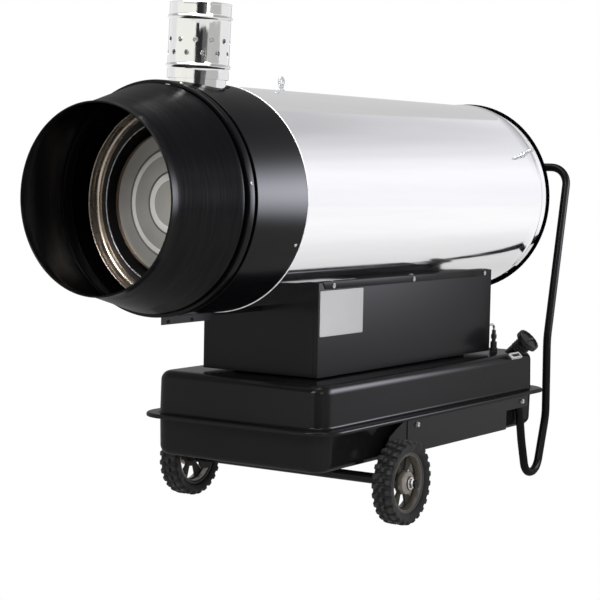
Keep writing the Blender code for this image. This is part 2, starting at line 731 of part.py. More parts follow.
def heat_exchanger():
    inner = DRUM_INNER_RADIUS - SHEET
    plate_rim = DRUM_RADIUS - SHEET
    profile = [
        (inner, DRUM_REAR), (DRUM_RADIUS, DRUM_REAR), (DRUM_RADIUS, DRUM_FRONT), (plate_rim, DRUM_FRONT),
        (plate_rim, DRUM_PLATE), (DRUM_INNER_RADIUS, DRUM_PLATE), (DRUM_INNER_RADIUS, DRUM_INNER_FRONT),
        (inner, DRUM_INNER_FRONT),
    ]
    drum = turned("heat_exchanger", profile, drum_steel, closed=True)
    put(drum, at(0, 0, DRUM_Z), ALONG_Y)
    void_profile = [
        (DRUM_INNER_RADIUS, DRUM_REAR - SHEET), (plate_rim, DRUM_REAR - SHEET),
        (plate_rim, DRUM_PLATE + SHEET), (DRUM_INNER_RADIUS, DRUM_PLATE + SHEET),
    ]
    void = turned("drum_void", void_profile, closed=True)
    put(void, at(0, 0, DRUM_Z), ALONG_Y)
    cut(drum, void)
    spigot_radius = inside_fit(FLUE_RADIUS - FLUE_WALL, FLUE_STEPS)
    root = (DRUM_INNER_RADIUS + DRUM_RADIUS) / 2
    top = RING_RADIUS + FLUE_SPIGOT_TOP
    spigot = cylinder("flue_spigot", spigot_radius, root, top, FLUE_STEPS)
    bore = cylinder("flue_spigot_bore", spigot_radius - SHEET, DRUM_INNER_RADIUS + OVERRUN, top + OVERRUN,
                    FLUE_STEPS)
    radial(spigot, FLUE_STATION, AXIS_Z, FLUE_CLOCK)
    radial(bore, FLUE_STATION, AXIS_Z, FLUE_CLOCK)
    fuse(drum, spigot)
    cut(drum, bore)
    for number, share in enumerate(LEG_STATION_SHARES):
        station = DRUM_INNER_FRONT + share * (DRUM_REAR - DRUM_INNER_FRONT)
        for side in (-1, 1):
            fuse(drum, drum_leg(f"drum_leg_{number}_{side + 1}", station, side))
    passage = cylinder("crossover_cutter", CROSSOVER_RADIUS, CHAMBER_RADIUS + OVERRUN,
                       DRUM_INNER_RADIUS + OVERRUN, SMALL_STEPS)
    put(passage, at(0, CROSSOVER_STATION, DRUM_Z), (pi, 0, CROSSOVER_TURN))
    return cut(drum, passage)


def combustion_chamber():
    inner = CHAMBER_RADIUS - SHEET
    rear = CHAMBER_REAR
    disc = [(inner, CHAMBER_DISC)]
    for share in RIDGE_RADIUS_SHARES:
        radius = share * CHAMBER_RADIUS
        disc += [
            (radius + RIDGE_HALF_WIDTH, CHAMBER_DISC), (radius, CHAMBER_DISC - RIDGE_HEIGHT),
            (radius - RIDGE_HALF_WIDTH, CHAMBER_DISC),
        ]
    profile = [
        (0, CHAMBER_DISC + SHEET), (inner, CHAMBER_DISC + SHEET), (inner, rear - SHEET),
        (BURNER_HOLE, rear - SHEET), (BURNER_HOLE, rear), (CHAMBER_RADIUS, rear),
        (CHAMBER_RADIUS, CHAMBER_FRONT), (inner, CHAMBER_FRONT), *disc, (0, CHAMBER_DISC),
    ]
    chamber = turned("combustion_chamber", profile, chamber_steel)
    put(chamber, at(0, 0, DRUM_Z), ALONG_Y)
    bore_wall = inside_fit(DRUM_INNER_RADIUS - SHEET, DRUM_STEPS)
    outer = CROSSOVER_RADIUS + SHEET
    end = sqrt(bore_wall ** 2 - outer ** 2)
    wall = inner * cos(pi / DRUM_STEPS)
    root = sqrt(wall ** 2 - outer ** 2) - SHEET
    stub_profile = [(CROSSOVER_RADIUS, root), (CROSSOVER_RADIUS, end), (outer, end), (outer, root)]
    stub = turned("crossover_stub", stub_profile, steps=SMALL_STEPS, closed=True)
    bore = cylinder("crossover_bore", outer - SHEET / 2, root - OVERRUN, end + OVERRUN, SMALL_STEPS)
    put(stub, at(0, CROSSOVER_STATION, DRUM_Z), (pi, 0, CROSSOVER_TURN))
    put(bore, at(0, CROSSOVER_STATION, DRUM_Z), (pi, 0, CROSSOVER_TURN))
    saddle_end = sqrt(bore_wall ** 2 - SADDLE_HALF_WIDTH ** 2)
    saddle_root = sqrt(wall ** 2 - SADDLE_HALF_WIDTH ** 2) - SHEET
    height = saddle_end - saddle_root
    saddle = block("chamber_saddle", (2 * SADDLE_HALF_WIDTH, SADDLE_THICKNESS, height))
    put(saddle, at(0, SADDLE_STATION, DRUM_Z - saddle_root - height / 2))
    cut(chamber, bore)
    return fuse(chamber, stub, saddle)


def flue_pipe():
    profile = [(FLUE_RADIUS, FLUE_TOP)]
    for bead in FLUE_BEADS:
        profile += [
            (FLUE_RADIUS, bead + FLUE_BEAD_HALF_WIDTH), (FLUE_RADIUS + FLUE_BEAD, bead),
            (FLUE_RADIUS, bead - FLUE_BEAD_HALF_WIDTH),
        ]
    profile.append((FLUE_RADIUS, FLUE_FOOT))
    lifted = [(r, h + RING_RADIUS) for r, h in profile]
    pipe = turned("flue_pipe", lifted, flue_steel, FLUE_STEPS, wall=FLUE_WALL)
    radial(pipe, FLUE_STATION, AXIS_Z, FLUE_CLOCK)
    bm = bmesh.new()
    for height, offset in FLUE_VENT_ROWS:
        for number in range(FLUE_VENTS):
            turn = offset + 2 * pi * number / FLUE_VENTS
            place = (
                Matrix.Translation((0, 0, RING_RADIUS + height)) @ Matrix.Rotation(turn, 4, "Z")
                @ Matrix.Translation((0, -FLUE_RADIUS, 0)) @ Matrix.Rotation(pi / 2, 4, "X")
            )
            bmesh.ops.create_cone(bm, cap_ends=True, segments=6, radius1=FLUE_VENT_RADIUS,
                                  radius2=FLUE_VENT_RADIUS, depth=4 * OVERRUN, matrix=place)
    vents = from_bmesh("flue_vent_cutters", bm, None)
    radial(vents, FLUE_STATION, AXIS_Z, FLUE_CLOCK)
    return cut(pipe, vents)


# Burner

def blast_tube():
    outer = inside_fit(BURNER_HOLE, DRUM_STEPS)
    inner = outer - SHEET
    face = CHAMBER_REAR + GAP
    back = face + BURNER_FLANGE
    front = CHAMBER_REAR - BLAST_TUBE_LENGTH
    profile = [
        (inner, back), (BURNER_FLANGE_RADIUS, back), (BURNER_FLANGE_RADIUS, face),
        (outer, face), (outer, front), (inner, front),
    ]
    tube = turned("blast_tube", profile, zinc, closed=True)
    return put(tube, at(0, 0, DRUM_Z), ALONG_Y)


def burner_body():
    profile = [
        (BURNER_BODY_RADIUS - BURNER_NOSE, BURNER_REAR), (BURNER_BODY_RADIUS, BURNER_REAR - BURNER_NOSE),
        (BURNER_BODY_RADIUS, BURNER_REAR - BURNER_BODY_LENGTH),
    ]
    body = disc_stack("burner_body", profile, aluminium, DRUM_STEPS)
    return put(body, at(0, 0, DRUM_Z), ALONG_Y)


# Fan and motor

def blade(bm, turn):
    rings = []
    sections = 5
    root = FAN_HUB_RADIUS * cos(pi / FIT_STEPS) - FAN_BLADE
    for k in range(sections + 1):
        share = k / sections
        radius = root + (FAN_TIP_RADIUS - root) * share
        half_chord = (FAN_CHORD_ROOT + (FAN_CHORD_TIP - FAN_CHORD_ROOT) * share) / 2
        pitch = FAN_PITCH_ROOT + (FAN_PITCH_TIP - FAN_PITCH_ROOT) * share
        half_chord = min(half_chord, FAN_HUB_LENGTH / 2 / sin(FAN_PITCH_ROOT) * (1 + share))
        ring = []
        for along, through in ((-1, -1), (1, -1), (1, 1), (-1, 1)):
            u = along * half_chord
            v = through * FAN_BLADE / 2
            across = u * cos(pitch) - v * sin(pitch)
            height = u * sin(pitch) + v * cos(pitch)
            bend = across / radius
            place = Vector((radius * cos(bend), radius * sin(bend), height))
            ring.append(bm.verts.new(Matrix.Rotation(turn, 3, "Z") @ place))
        rings.append(ring)
    for low, high in zip(rings, rings[1:]):
        for k in range(4):
            bm.faces.new((low[k], low[(k + 1) % 4], high[(k + 1) % 4], high[k]))
    bm.faces.new(rings[0][::-1])
    bm.faces.new(rings[-1])


def fan_impeller():
    half = FAN_HUB_LENGTH / 2
    nose = half / 2
    profile = [
        (SHAFT_RADIUS, half + FAN_TO_MOTOR + SHAFT_DEPTH), (SHAFT_RADIUS, half),
        (FAN_HUB_RADIUS, half), (FAN_HUB_RADIUS, nose - half), (FAN_HUB_RADIUS - nose, -half),
    ]
    fan = disc_stack("fan_impeller", profile, dark_plastic, FIT_STEPS)
    put(fan, at(0, FAN_STATION, AXIS_Z), ALONG_Y)
    bm = bmesh.new()
    for number in range(FAN_BLADES):
        blade(bm, 2 * pi * number / FAN_BLADES)
    bmesh.ops.recalc_face_normals(bm, faces=bm.faces)
    blades = from_bmesh("fan_blades", bm, None)
    put(blades, at(0, FAN_STATION, AXIS_Z), ALONG_Y)
    return fuse(fan, blades)


def motor_front():
    return FAN_STATION + FAN_HUB_LENGTH / 2 + FAN_TO_MOTOR


def fan_motor():
    length = MOTOR_LENGTH
    core = MOTOR_RADIUS - MOTOR_FIN
    fin_start = SPIDER_STATION - motor_front() - SPIDER_WIDTH
    pitch = (fin_start - MOTOR_BEVEL) / MOTOR_FINS
    profile = [(MOTOR_RADIUS - MOTOR_BEVEL, length), (MOTOR_RADIUS, length - MOTOR_BEVEL)]
    for number in range(MOTOR_FINS, 0, -1):
        top = MOTOR_BEVEL + number * pitch
        profile += [(MOTOR_RADIUS, top), (core, top), (core, top - pitch / 2), (MOTOR_RADIUS, top - pitch / 2)]
    profile += [(MOTOR_RADIUS, MOTOR_BEVEL), (MOTOR_RADIUS - MOTOR_BEVEL, 0)]
    motor = disc_stack("fan_motor", profile, motor_grey, DRUM_STEPS)
    put(motor, at(0, motor_front(), AXIS_Z), ALONG_Y)
    bore = cylinder("motor_bore", SHAFT_RADIUS + RUNNING_FIT, -OVERRUN, SHAFT_DEPTH + OVERRUN, FIT_STEPS)
    put(bore, at(0, motor_front(), AXIS_Z), ALONG_Y)
    return cut(motor, bore)


def motor_spider():
    """Clamp ring round the motor with four arms out to the casing."""
    inner = MOTOR_RADIUS + GAP
    outer = inner + SPIDER_RING
    half = SPIDER_WIDTH / 2
    profile = [(inner, half), (outer, half), (outer, -half), (inner, -half)]
    ring = turned("motor_spider", profile, black_paint, closed=True)
    put(ring, at(0, SPIDER_STATION, AXIS_Z), ALONG_Y)
    tip = inside_fit(BELLY_RADIUS - SHEET, CASING_STEPS)
    reach = sqrt(tip ** 2 - (SPIDER_THICKNESS / 2) ** 2)
    root = inner + SPIDER_RING / 2
    for number in range(4):
        arm = block(f"spider_arm_{number}", (SPIDER_THICKNESS, SPIDER_WIDTH, reach - root))
        turn = pi / 4 + number * pi / 2
        centre = (reach + root) / 2
        put(arm, at(centre * sin(turn), SPIDER_STATION, AXIS_Z + centre * cos(turn)), (0, turn, 0))
        fuse(ring, arm)
    return ring


# Cabinet

def cabinet_side(name, side):
    """Side panel with a return at each end, cut to the belly of the casing."""
    x_out = side * CABINET_HALF_WIDTH
    x_in = side * (CABINET_HALF_WIDTH - SHEET)
    x_return = side * (CABINET_HALF_WIDTH - CABINET_RETURN)
    front = CABINET_FRONT
    rear = CABINET_REAR
    outline = [
        (x_out, front), (x_out, rear), (x_return, rear), (x_return, rear - SHEET),
        (x_in, rear - SHEET), (x_in, front + SHEET), (x_return, front + SHEET), (x_return, front),
    ]
    height = FLOOR_TO_AXIS - BELLY_RADIUS / 2
    panel = flat(name, [outline], height, black_paint)
    put(panel, at(0, 0, FLOOR_Z + height / 2))
    return cut(panel, bpy.data.objects["belly_clearance"])


def belly_outline(half_width):
    """Panel front outline: square foot, top edge following the belly."""
    half = asin(half_width / BELLY_RADIUS)
    radius = outside_fit(BELLY_RADIUS, pi / (half / BELLY_ARC_STEPS))
    half = asin(half_width / radius)
    edge = arc((0, AXIS_Z), radius, -pi / 2 + half, -pi / 2 - half, BELLY_ARC_STEPS)
    return [(-half_width, FLOOR_Z), (half_width, FLOOR_Z), *edge]


def cabinet_front_panel():
    half_width = CABINET_HALF_WIDTH - CABINET_RETURN - GAP
    panel = flat("cabinet_front", [belly_outline(half_width)], SHEET, black_paint)
    return put(panel, at(0, CABINET_FRONT + SHEET / 2, 0), ACROSS)


def control_holes():
    knob_bore = KNOB_STEM + RUNNING_FIT
    reset_bore = RESET_RADIUS + GAP
    return [
        circle((KNOB_X, CONTROL_PLATE_Z), knob_bore, FIT_STEPS),
        circle((RESET_X, CONTROL_PLATE_Z), reset_bore, FIT_STEPS),
    ]


def cabinet_rear_panel():
    half_width = CABINET_HALF_WIDTH - CABINET_RETURN - GAP
    loops = [belly_outline(half_width), *control_holes()]
    panel = flat("cabinet_rear", loops, SHEET, black_paint)
    return put(panel, at(0, CABINET_REAR - SHEET / 2, 0), ACROSS)


def cabinet_floor():
    size = (
        2 * (CABINET_HALF_WIDTH - SHEET - GAP),
        CABINET_LENGTH - 2 * SHEET - 2 * GAP,
        SHEET,
    )
    floor = block("cabinet_floor", size, black_paint)
    return put(floor, at(0, CABINET_FRONT + CABINET_LENGTH / 2, FLOOR_Z + SHEET / 2))


def cabinet_packer(name, station):
    size = (2 * PACKER_HALF_LENGTH, PACKER_WIDTH, PACKER_HEIGHT - 2 * GAP)
    packer = block(name, size, neck_rubber)
    return put(packer, at(0, station, TANK_TOP + PACKER_HEIGHT / 2))


def control_plate():
    half_width = CONTROL_PLATE_WIDTH / 2
    low = CONTROL_PLATE_Z - CONTROL_PLATE_HEIGHT / 2
    high = CONTROL_PLATE_Z + CONTROL_PLATE_HEIGHT / 2
    rim = [(-half_width, low), (half_width, low), (half_width, high), (-half_width, high)]
    plate = flat("control_plate", [rim, *control_holes()], CONTROL_PLATE, motor_grey)
    return put(plate, at(0, CABINET_REAR + GAP + CONTROL_PLATE / 2, 0), ACROSS)


def control_face():
    return CABINET_REAR + GAP + CONTROL_PLATE + GAP


def selector_knob():
    back = SHEET + CONTROL_PLATE + 3 * GAP
    profile = [
        (KNOB_RADIUS - RESET_HEIGHT / 2, KNOB_HEIGHT), (KNOB_RADIUS, KNOB_HEIGHT / 2),
        (KNOB_RADIUS, 0), (KNOB_STEM, 0), (KNOB_STEM, -back),
    ]
    knob = disc_stack("selector_knob", profile, dark_plastic, FIT_STEPS)
    put(knob, at(KNOB_X, control_face(), CONTROL_PLATE_Z), ALONG_Y)
    depth = KNOB_HEIGHT / 2
    width = KNOB_RADIUS
    for side in (-1, 1):
        flank = block(f"knob_flank_{side + 1}", (width, 4 * width, depth))
        put(flank, at(KNOB_X + side * (width / 2 + KNOB_STEM), control_face() + KNOB_HEIGHT, CONTROL_PLATE_Z),
            ALONG_Y)
        cut(knob, flank)
    return knob


def reset_button():
    back = SHEET + CONTROL_PLATE + 3 * GAP
    bevel = RESET_RADIUS / 5
    profile = [
        (RESET_RADIUS - bevel, RESET_HEIGHT), (RESET_RADIUS, RESET_HEIGHT - bevel), (RESET_RADIUS, -back),
    ]
    button = disc_stack("reset_button", profile, lamp_red, FIT_STEPS)
    return put(button, at(RESET_X, control_face(), CONTROL_PLATE_Z), ALONG_Y)


def pilot_lamp():
    dome = arc((0, 0), LAMP_RADIUS, pi / 6, pi / 3, 2)
    profile = [(r, h * LAMP_HEIGHT / LAMP_RADIUS) for r, h in reversed(dome)]
    lamp = disc_stack("pilot_lamp", [*profile, (LAMP_RADIUS, 0)], lamp_red)
    return put(lamp, at(LAMP_X, control_face(), CONTROL_PLATE_Z), ALONG_Y)


def cable_gland():
    """Gland for the supply cable: hexagon, dome nut and bore."""
    nut = GLAND_RADIUS - RESET_HEIGHT / 2
    profile = [
        (nut - NECK_WALL, GLAND_HEIGHT), (nut, GLAND_HEIGHT - NECK_WALL), (nut, GLAND_HEIGHT / 2),
        (GLAND_RADIUS, GLAND_HEIGHT / 2), (GLAND_RADIUS, 0),
    ]
    gland = disc_stack("cable_gland", profile, dark_plastic, 12)
    put(gland, at(GLAND_X, control_face(), CONTROL_PLATE_Z), ALONG_Y)
    bore = cylinder("gland_bore", GLAND_BORE, GLAND_HEIGHT / 4, GLAND_HEIGHT + OVERRUN, 12)
    put(bore, at(GLAND_X, control_face(), CONTROL_PLATE_Z), ALONG_Y)
    return cut(gland, bore)


def on_floor(obj, x, station, height):
    return put(obj, at(x, station, FLOOR_Z + SHEET + GAP + height / 2))


def fuel_pump():
    pump = block("fuel_pump", PUMP_SIZE, aluminium, UNIT_BEVEL)
    on_floor(pump, PUMP_X, PUMP_STATION, PUMP_SIZE[2])
    cover = cylinder("pump_cover", PUMP_COVER_RADIUS, -PUMP_COVER, PUMP_COVER, SMALL_STEPS)
    face = PUMP_STATION - PUMP_SIZE[1] / 2
    put(cover, at(PUMP_X, face, FLOOR_Z + SHEET + GAP + PUMP_SIZE[2] / 2), ALONG_Y)
    return fuse(pump, cover)


def ignition_transformer():
    unit = block("ignition_transformer", TRANSFORMER_SIZE, dark_plastic, UNIT_BEVEL)
    return on_floor(unit, TRANSFORMER_X, TRANSFORMER_STATION, TRANSFORMER_SIZE[2])


def control_unit():
    unit = block("burner_control_unit", CONTROL_UNIT_SIZE, motor_grey, UNIT_BEVEL)
    return on_floor(unit, CONTROL_UNIT_X, CONTROL_UNIT_STATION, CONTROL_UNIT_SIZE[2])


# Fuel tank

def rounded_rectangle(half_width, front, rear, radius):
    loop = []
    for x, y, start in (
        (half_width - radius, front + radius, -pi / 2),
        (half_width - radius, rear - radius, 0),
        (radius - half_width, rear - radius, pi / 2),
        (radius - half_width, front + radius, pi),
    ):
        loop += arc((x, y), radius, start, start + pi / 2, CORNER_STEPS)
    return loop


def tank_ring(bm, grow, z):
    """Outline of the tank wall moved out by grow, at height z."""
    loop = rounded_rectangle(TANK_HALF_WIDTH + grow, TANK_FRONT - grow, TANK_REAR + grow, TANK_CORNER + grow)
    return [bm.verts.new((x, y, z)) for x, y in loop]


def loft(name, sections, finish, downward=False, closed=False):
    bm = bmesh.new()
    rings = [tank_ring(bm, grow, z) for grow, z in sections]
    for low, high in zip(rings, rings[1:]):
        for k in range(len(low)):
            n = (k + 1) % len(low)
            face = (low[k], low[n], high[n], high[k])
            bm.faces.new(face[::-1] if downward else face)
    bm.faces.new(rings[-1][::-1] if downward else rings[-1])
    if closed:
        bm.faces.new(rings[0][::-1])
    obj = from_bmesh(name, bm, finish)
    return put(obj, at(0, 0, 0))


def tank_sections(flange_z, direction, wall_depth, drop):
    """Flange edge, flange, wall and rounded floor of one pressed half."""
    inset = FLANGE_ROUND * (1 - cos(pi / 4))
    sections = []
    if drop:
        sections += [(FLANGE_REACH, flange_z - drop), (FLANGE_REACH, flange_z - FLANGE_ROUND),
                     (FLANGE_REACH - inset, flange_z - inset)]
    sections += [
        (FLANGE_REACH - FLANGE_ROUND - (0 if drop else SHEET), flange_z), (FLANGE_ROUND / 2, flange_z),
        (0, flange_z + direction * FLANGE_ROUND / 2),
        (-TANK_DRAFT, flange_z + direction * (wall_depth - TANK_EDGE)),
    ]
    for turn in (pi / 6, pi / 3, pi / 2):
        sections.append((
            -TANK_DRAFT - TANK_EDGE * (1 - cos(turn)),
            flange_z + direction * (wall_depth - TANK_EDGE * (1 - sin(turn))),
        ))
    return sections


def neck_place(obj):
    return put(obj, at(FILLER_X, FILLER_STATION, TANK_TOP), (0, FILLER_LEAN, 0))


def tank_upper():
    flange_z = FLANGE_Z + SHEET
    depth = TANK_UPPER_DEPTH - SHEET
    sections = tank_sections(flange_z, 1, depth, FLANGE_DROP)
    half = loft("tank_upper", sections, black_paint)
    solidify(half, SHEET)
    hole = cylinder("filler_hole", NECK_RADIUS - 2 * NECK_WALL, -NECK_LENGTH, NECK_LENGTH / 2, SMALL_STEPS)
    return cut(half, neck_place(hole))


def tank_lower():
    flange_z = FLANGE_Z - SHEET - GAP
    depth = flange_z - TANK_BOTTOM
    half = loft("tank_lower", tank_sections(flange_z, -1, depth, 0), black_paint, downward=True)
    solidify(half, SHEET)
    return half


def tank_envelope():
    """Outer form of the upper half, kept clear by what sits on it."""
    turns = [(-TANK_DRAFT + GAP, TANK_TOP - TANK_EDGE)]
    for turn in (pi / 6, pi / 3, pi / 2):
        turns.append((GAP - TANK_DRAFT - TANK_EDGE * (1 - cos(turn)), TANK_TOP + GAP - TANK_EDGE * (1 - sin(turn))))
    return loft("tank_envelope", [(GAP, FLANGE_Z + FLANGE_DROP), *turns], None, closed=True)


def filler_neck():
    pitch = NECK_LENGTH / (2 * NECK_RIBS)
    top = NECK_LENGTH
    smooth = top - CAP_SKIRT
    profile = [(NECK_RADIUS - NECK_WALL, top), (NECK_RADIUS, top), (NECK_RADIUS, smooth)]
    for number in range(NECK_RIBS):
        height = smooth - (number + 1) * pitch
        profile += [(NECK_RADIUS + NECK_RIB, height + pitch / 2), (NECK_RADIUS, height)]
    root = -NECK_LENGTH
    profile += [(NECK_RADIUS, root), (NECK_RADIUS - NECK_WALL, root)]
    neck = turned("filler_neck", profile, neck_rubber, closed=True)
    return cut(neck_place(neck), bpy.data.objects["tank_envelope"])


def fuel_cap():
    """Bayonet cap with a lobed rim, a hand bar and a skirt over the neck."""
    rim = []
    for number in range(3 * CAP_LOBES):
        turn = 2 * pi * number / (3 * CAP_LOBES)
        lobe = CAP_LOBE_DEPTH if number % 3 == 0 else 0
        rim.append(((CAP_RADIUS - lobe) * cos(turn), (CAP_RADIUS - lobe) * sin(turn)))
    cap = flat("fuel_cap", [rim], CAP_HEIGHT, dark_plastic)
    foot = NECK_LENGTH - CAP_SKIRT + GAP
    place = Matrix.Rotation(FILLER_LEAN, 4, "Y") @ Matrix.Translation((0, 0, foot + CAP_HEIGHT / 2))
    centre = at(FILLER_X, FILLER_STATION, TANK_TOP) + place.translation
    put(cap, centre, (0, FILLER_LEAN, 0))
    bore_radius = (NECK_RADIUS + GAP) / cos(pi / DRUM_STEPS)
    socket = cylinder("cap_socket", bore_radius, -CAP_HEIGHT, -CAP_HEIGHT / 2 + CAP_SKIRT + GAP)
    put(socket, centre, (0, FILLER_LEAN, 0))
    cut(cap, socket)
    depth = (CAP_HEIGHT - CAP_SKIRT) / 2
    outer = CAP_RADIUS - 2 * NECK_WALL - CAP_LOBE_DEPTH
    for side in (0, pi):
        half = asin(CAP_BAR_WIDTH / 2 / outer)
        moon = arc((0, 0), outer, side + half, side + pi - half, 7)
        pocket = flat(f"cap_pocket_{round(degrees(side))}", [moon], 2 * depth)
        top = Matrix.Rotation(FILLER_LEAN, 4, "Y") @ Vector((0, 0, CAP_HEIGHT / 2))
        put(pocket, centre + top, (0, FILLER_LEAN, 0))
        cut(cap, pocket)
    return cap


def fuel_gauge():
    """Bright gauge frame on the tank's shoulder, with a window slot."""
    lean = pi / 4
    size = (GAUGE_WIDTH, GAUGE_LENGTH, 2 * GAUGE_HEIGHT)
    x = TANK_HALF_WIDTH - TANK_DRAFT - TANK_EDGE * (1 - cos(lean))
    z = TANK_TOP - TANK_EDGE * (1 - sin(lean))
    gauge = block("fuel_gauge", size, zinc)
    put(gauge, at(x, GAUGE_STATION, z), (0, lean, 0))
    slot = block("gauge_slot", (GAUGE_WIDTH - 2 * GAUGE_FRAME, GAUGE_LENGTH - 2 * GAUGE_FRAME, GAUGE_HEIGHT))
    out = GAUGE_HEIGHT
    put(slot, at(x + out * sin(lean), GAUGE_STATION, z + out * cos(lean)), (0, lean, 0))
    return cut(gauge, bpy.data.objects["tank_envelope"], slot)


def suction_fitting():
    profile = [(radius * SUCTION_RADIUS, height * SUCTION_HEIGHT) for radius, height in SUCTION_STEP_SHARES]
    fitting = disc_stack("suction_fitting", profile, dark_plastic, 12)
    return put(fitting, at(SUCTION_X, SUCTION_STATION, TANK_TOP + GAP))


def suction_pipe():
    """Fuel line from the fitting over into the cabinet's rear panel."""
    start = at(SUCTION_X, SUCTION_STATION, TANK_TOP + 2 * GAP + SUCTION_HEIGHT)
    crown = start + Vector((0, 0, PIPE_BEND + PIPE_RADIUS))
    over = at(CABINET_HALF_WIDTH - CABINET_RETURN / 2, CABINET_REAR + GAP, crown.z)
    path = rounded_path([start, crown, over], [PIPE_BEND])
    return bar("suction_pipe", path, PIPE_RADIUS, zinc)


def drain_plug():
    bevel = SHEET
    profile = [(DRAIN_RADIUS, 0), (DRAIN_RADIUS, bevel - DRAIN_HEIGHT), (DRAIN_RADIUS - bevel, -DRAIN_HEIGHT)]
    plug = disc_stack("drain_plug", profile, zinc, 6)
    return put(plug, at(0, DRAIN_STATION, TANK_BOTTOM - GAP))


# Side rails, axle, wheels and handle

def side_rail(name, side):
    """C section under the tank flange, notched where the handle passes."""
    web = side * RAIL_X
    skin = side * (RAIL_X + SHEET)
    lip = side * (RAIL_X - RAIL_LIP)
    low = RAIL_BOTTOM
    high = RAIL_TOP
    section = [
        (lip, low), (skin, low), (skin, high), (lip, high),
        (lip, high - SHEET), (web, high - SHEET), (web, low + SHEET), (lip, low + SHEET),
    ]
    length = RAIL_REAR - RAIL_FRONT
    rail = flat(name, [section], length, black_paint)
    put(rail, at(0, RAIL_FRONT + length / 2, 0), ACROSS)
    notch_length = RAIL_REAR - RAIL_NOTCH + OVERRUN
    notch = block(name + "_notch", (3 * RAIL_LIP, notch_length, 2 * (RAIL_NOTCH_Z - RAIL_BOTTOM)))
    put(notch, at(web, RAIL_NOTCH + notch_length / 2, RAIL_BOTTOM))
    relief_length = BRACKET_REAR + GAP - RAIL_FRONT
    relief = block(name + "_relief", (2 * RAIL_LIP, 2 * relief_length, RAIL_LIP))
    put(relief, at(side * (RAIL_X - RAIL_LIP), RAIL_FRONT, RAIL_BOTTOM))
    holes = []
    for number, (station, height) in enumerate(rail_bolt_places()):
        hole = cylinder(f"{name}_hole_{number}", BOLT_SHANK_RADIUS + GAP, -RAIL_LIP, RAIL_LIP, SMALL_STEPS)
        holes.append(put(hole, at(web, station, height), (0, pi / 2, 0)))
    return cut(rail, notch, relief, *holes)


def rail_bolt_places():
    return [(RAIL_BOLT_STATION, RAIL_BOLT_Z), (HANDLE_FOOT_STATION, RAIL_BOLT_Z)]


def axle_bracket(name, side):
    """Plate inside the rail that carries the axle below it."""
    top = RAIL_TOP - SHEET - GAP
    height = top - WHEEL_RADIUS
    eye = arc((WHEEL_STATION, WHEEL_RADIUS), BRACKET_EYE, pi, 1.75 * pi, 8)
    nose = []
    for along, up in BRACKET_NOSE_SHARES:
        nose.append((WHEEL_STATION + along * height, WHEEL_RADIUS + up * height))
    low = RAIL_BOTTOM + SHEET + GAP
    outline = [*eye, (BRACKET_REAR, low), (BRACKET_REAR, top), *reversed(nose)]
    axle_hole = circle((WHEEL_STATION, WHEEL_RADIUS), AXLE_RADIUS + GAP, FIT_STEPS)
    bolt_hole = circle((RAIL_BOLT_STATION, RAIL_BOLT_Z), BOLT_SHANK_RADIUS + GAP)
    plate = flat(name, [outline, axle_hole, bolt_hole], BRACKET_PLATE, black_paint)
    return put(plate, at(side * (RAIL_X - GAP - BRACKET_PLATE / 2), 0, 0), SIDEWAYS)


def rail_bolt(name, side, place, depth):
    """Hexagon bolt through the rail into what it clamps."""
    station, height = place
    profile = [
        (BOLT_HEAD_RADIUS, BOLT_HEAD), (BOLT_HEAD_RADIUS, 0),
        (BOLT_SHANK_RADIUS, 0), (BOLT_SHANK_RADIUS, -depth),
    ]
    bolt = disc_stack(name, profile, zinc, 12)
    return put(bolt, at(side * (RAIL_X + SHEET + GAP), station, height), (0, side * pi / 2, 0))


def axle():
    shoulder = WHEEL_TRACK_HALF - HUB_LENGTH / 2 - GAP
    end = WHEEL_TRACK_HALF + HUB_LENGTH / 2 + 2 * GAP + AXLE_WASHER + AXLE_NUT_LENGTH + AXLE_END
    profile = [
        (STUB_RADIUS - AXLE_END, end), (STUB_RADIUS, end - AXLE_END), (STUB_RADIUS, shoulder),
        (AXLE_RADIUS, shoulder), (AXLE_RADIUS, -shoulder), (STUB_RADIUS, -shoulder),
        (STUB_RADIUS, AXLE_END - end), (STUB_RADIUS - AXLE_END, -end),
    ]
    rod = disc_stack("axle", profile, zinc, FIT_STEPS)
    return put(rod, at(0, WHEEL_STATION, WHEEL_RADIUS), (0, pi / 2, 0))


def wheel_place(obj, side, offset=0):
    return put(obj, at(side * (WHEEL_TRACK_HALF + offset), WHEEL_STATION, WHEEL_RADIUS), (0, side * pi / 2, 0))


def wheel_rim(name, side):
    """Pressed rim with a hub tube, a windowed web and tyre flanges."""
    bore = STUB_RADIUS + RUNNING_FIT
    hub = HUB_LENGTH / 2
    seat = RIM_RADIUS - 3 * RIM_WALL
    inner = seat - RIM_WALL
    edge = TYRE_WIDTH / 2 - RIM_WALL
    web = RIM_WALL / 2
    profile = [
        (bore, hub), (HUB_RADIUS, hub), (HUB_RADIUS, web), (inner, web), (inner, edge),
        (RIM_RADIUS, edge), (seat, edge - RIM_WALL), (seat, RIM_WALL - edge), (RIM_RADIUS, -edge),
        (inner, -edge), (inner, -web), (HUB_RADIUS, -web), (HUB_RADIUS, -hub), (bore, -hub),
    ]
    rim = turned(name, profile, rim_paint, FIT_STEPS, closed=True)
    wheel_place(rim, side)
    windows = []
    near = HUB_RADIUS + 3 * RIM_WALL
    far = inner - 2 * RIM_WALL
    for number in range(RIM_WINDOWS):
        middle = pi * (2 * number + 1) / RIM_WINDOWS
        half = pi / RIM_WINDOWS * WINDOW_SHARE
        windows.append(arc((0, 0), far, middle - half, middle + half, 3)
                       + arc((0, 0), near, middle + half, middle - half, 1))
    tool = flat(name + "_windows", windows, HUB_LENGTH)
    return cut(rim, wheel_place(tool, side))


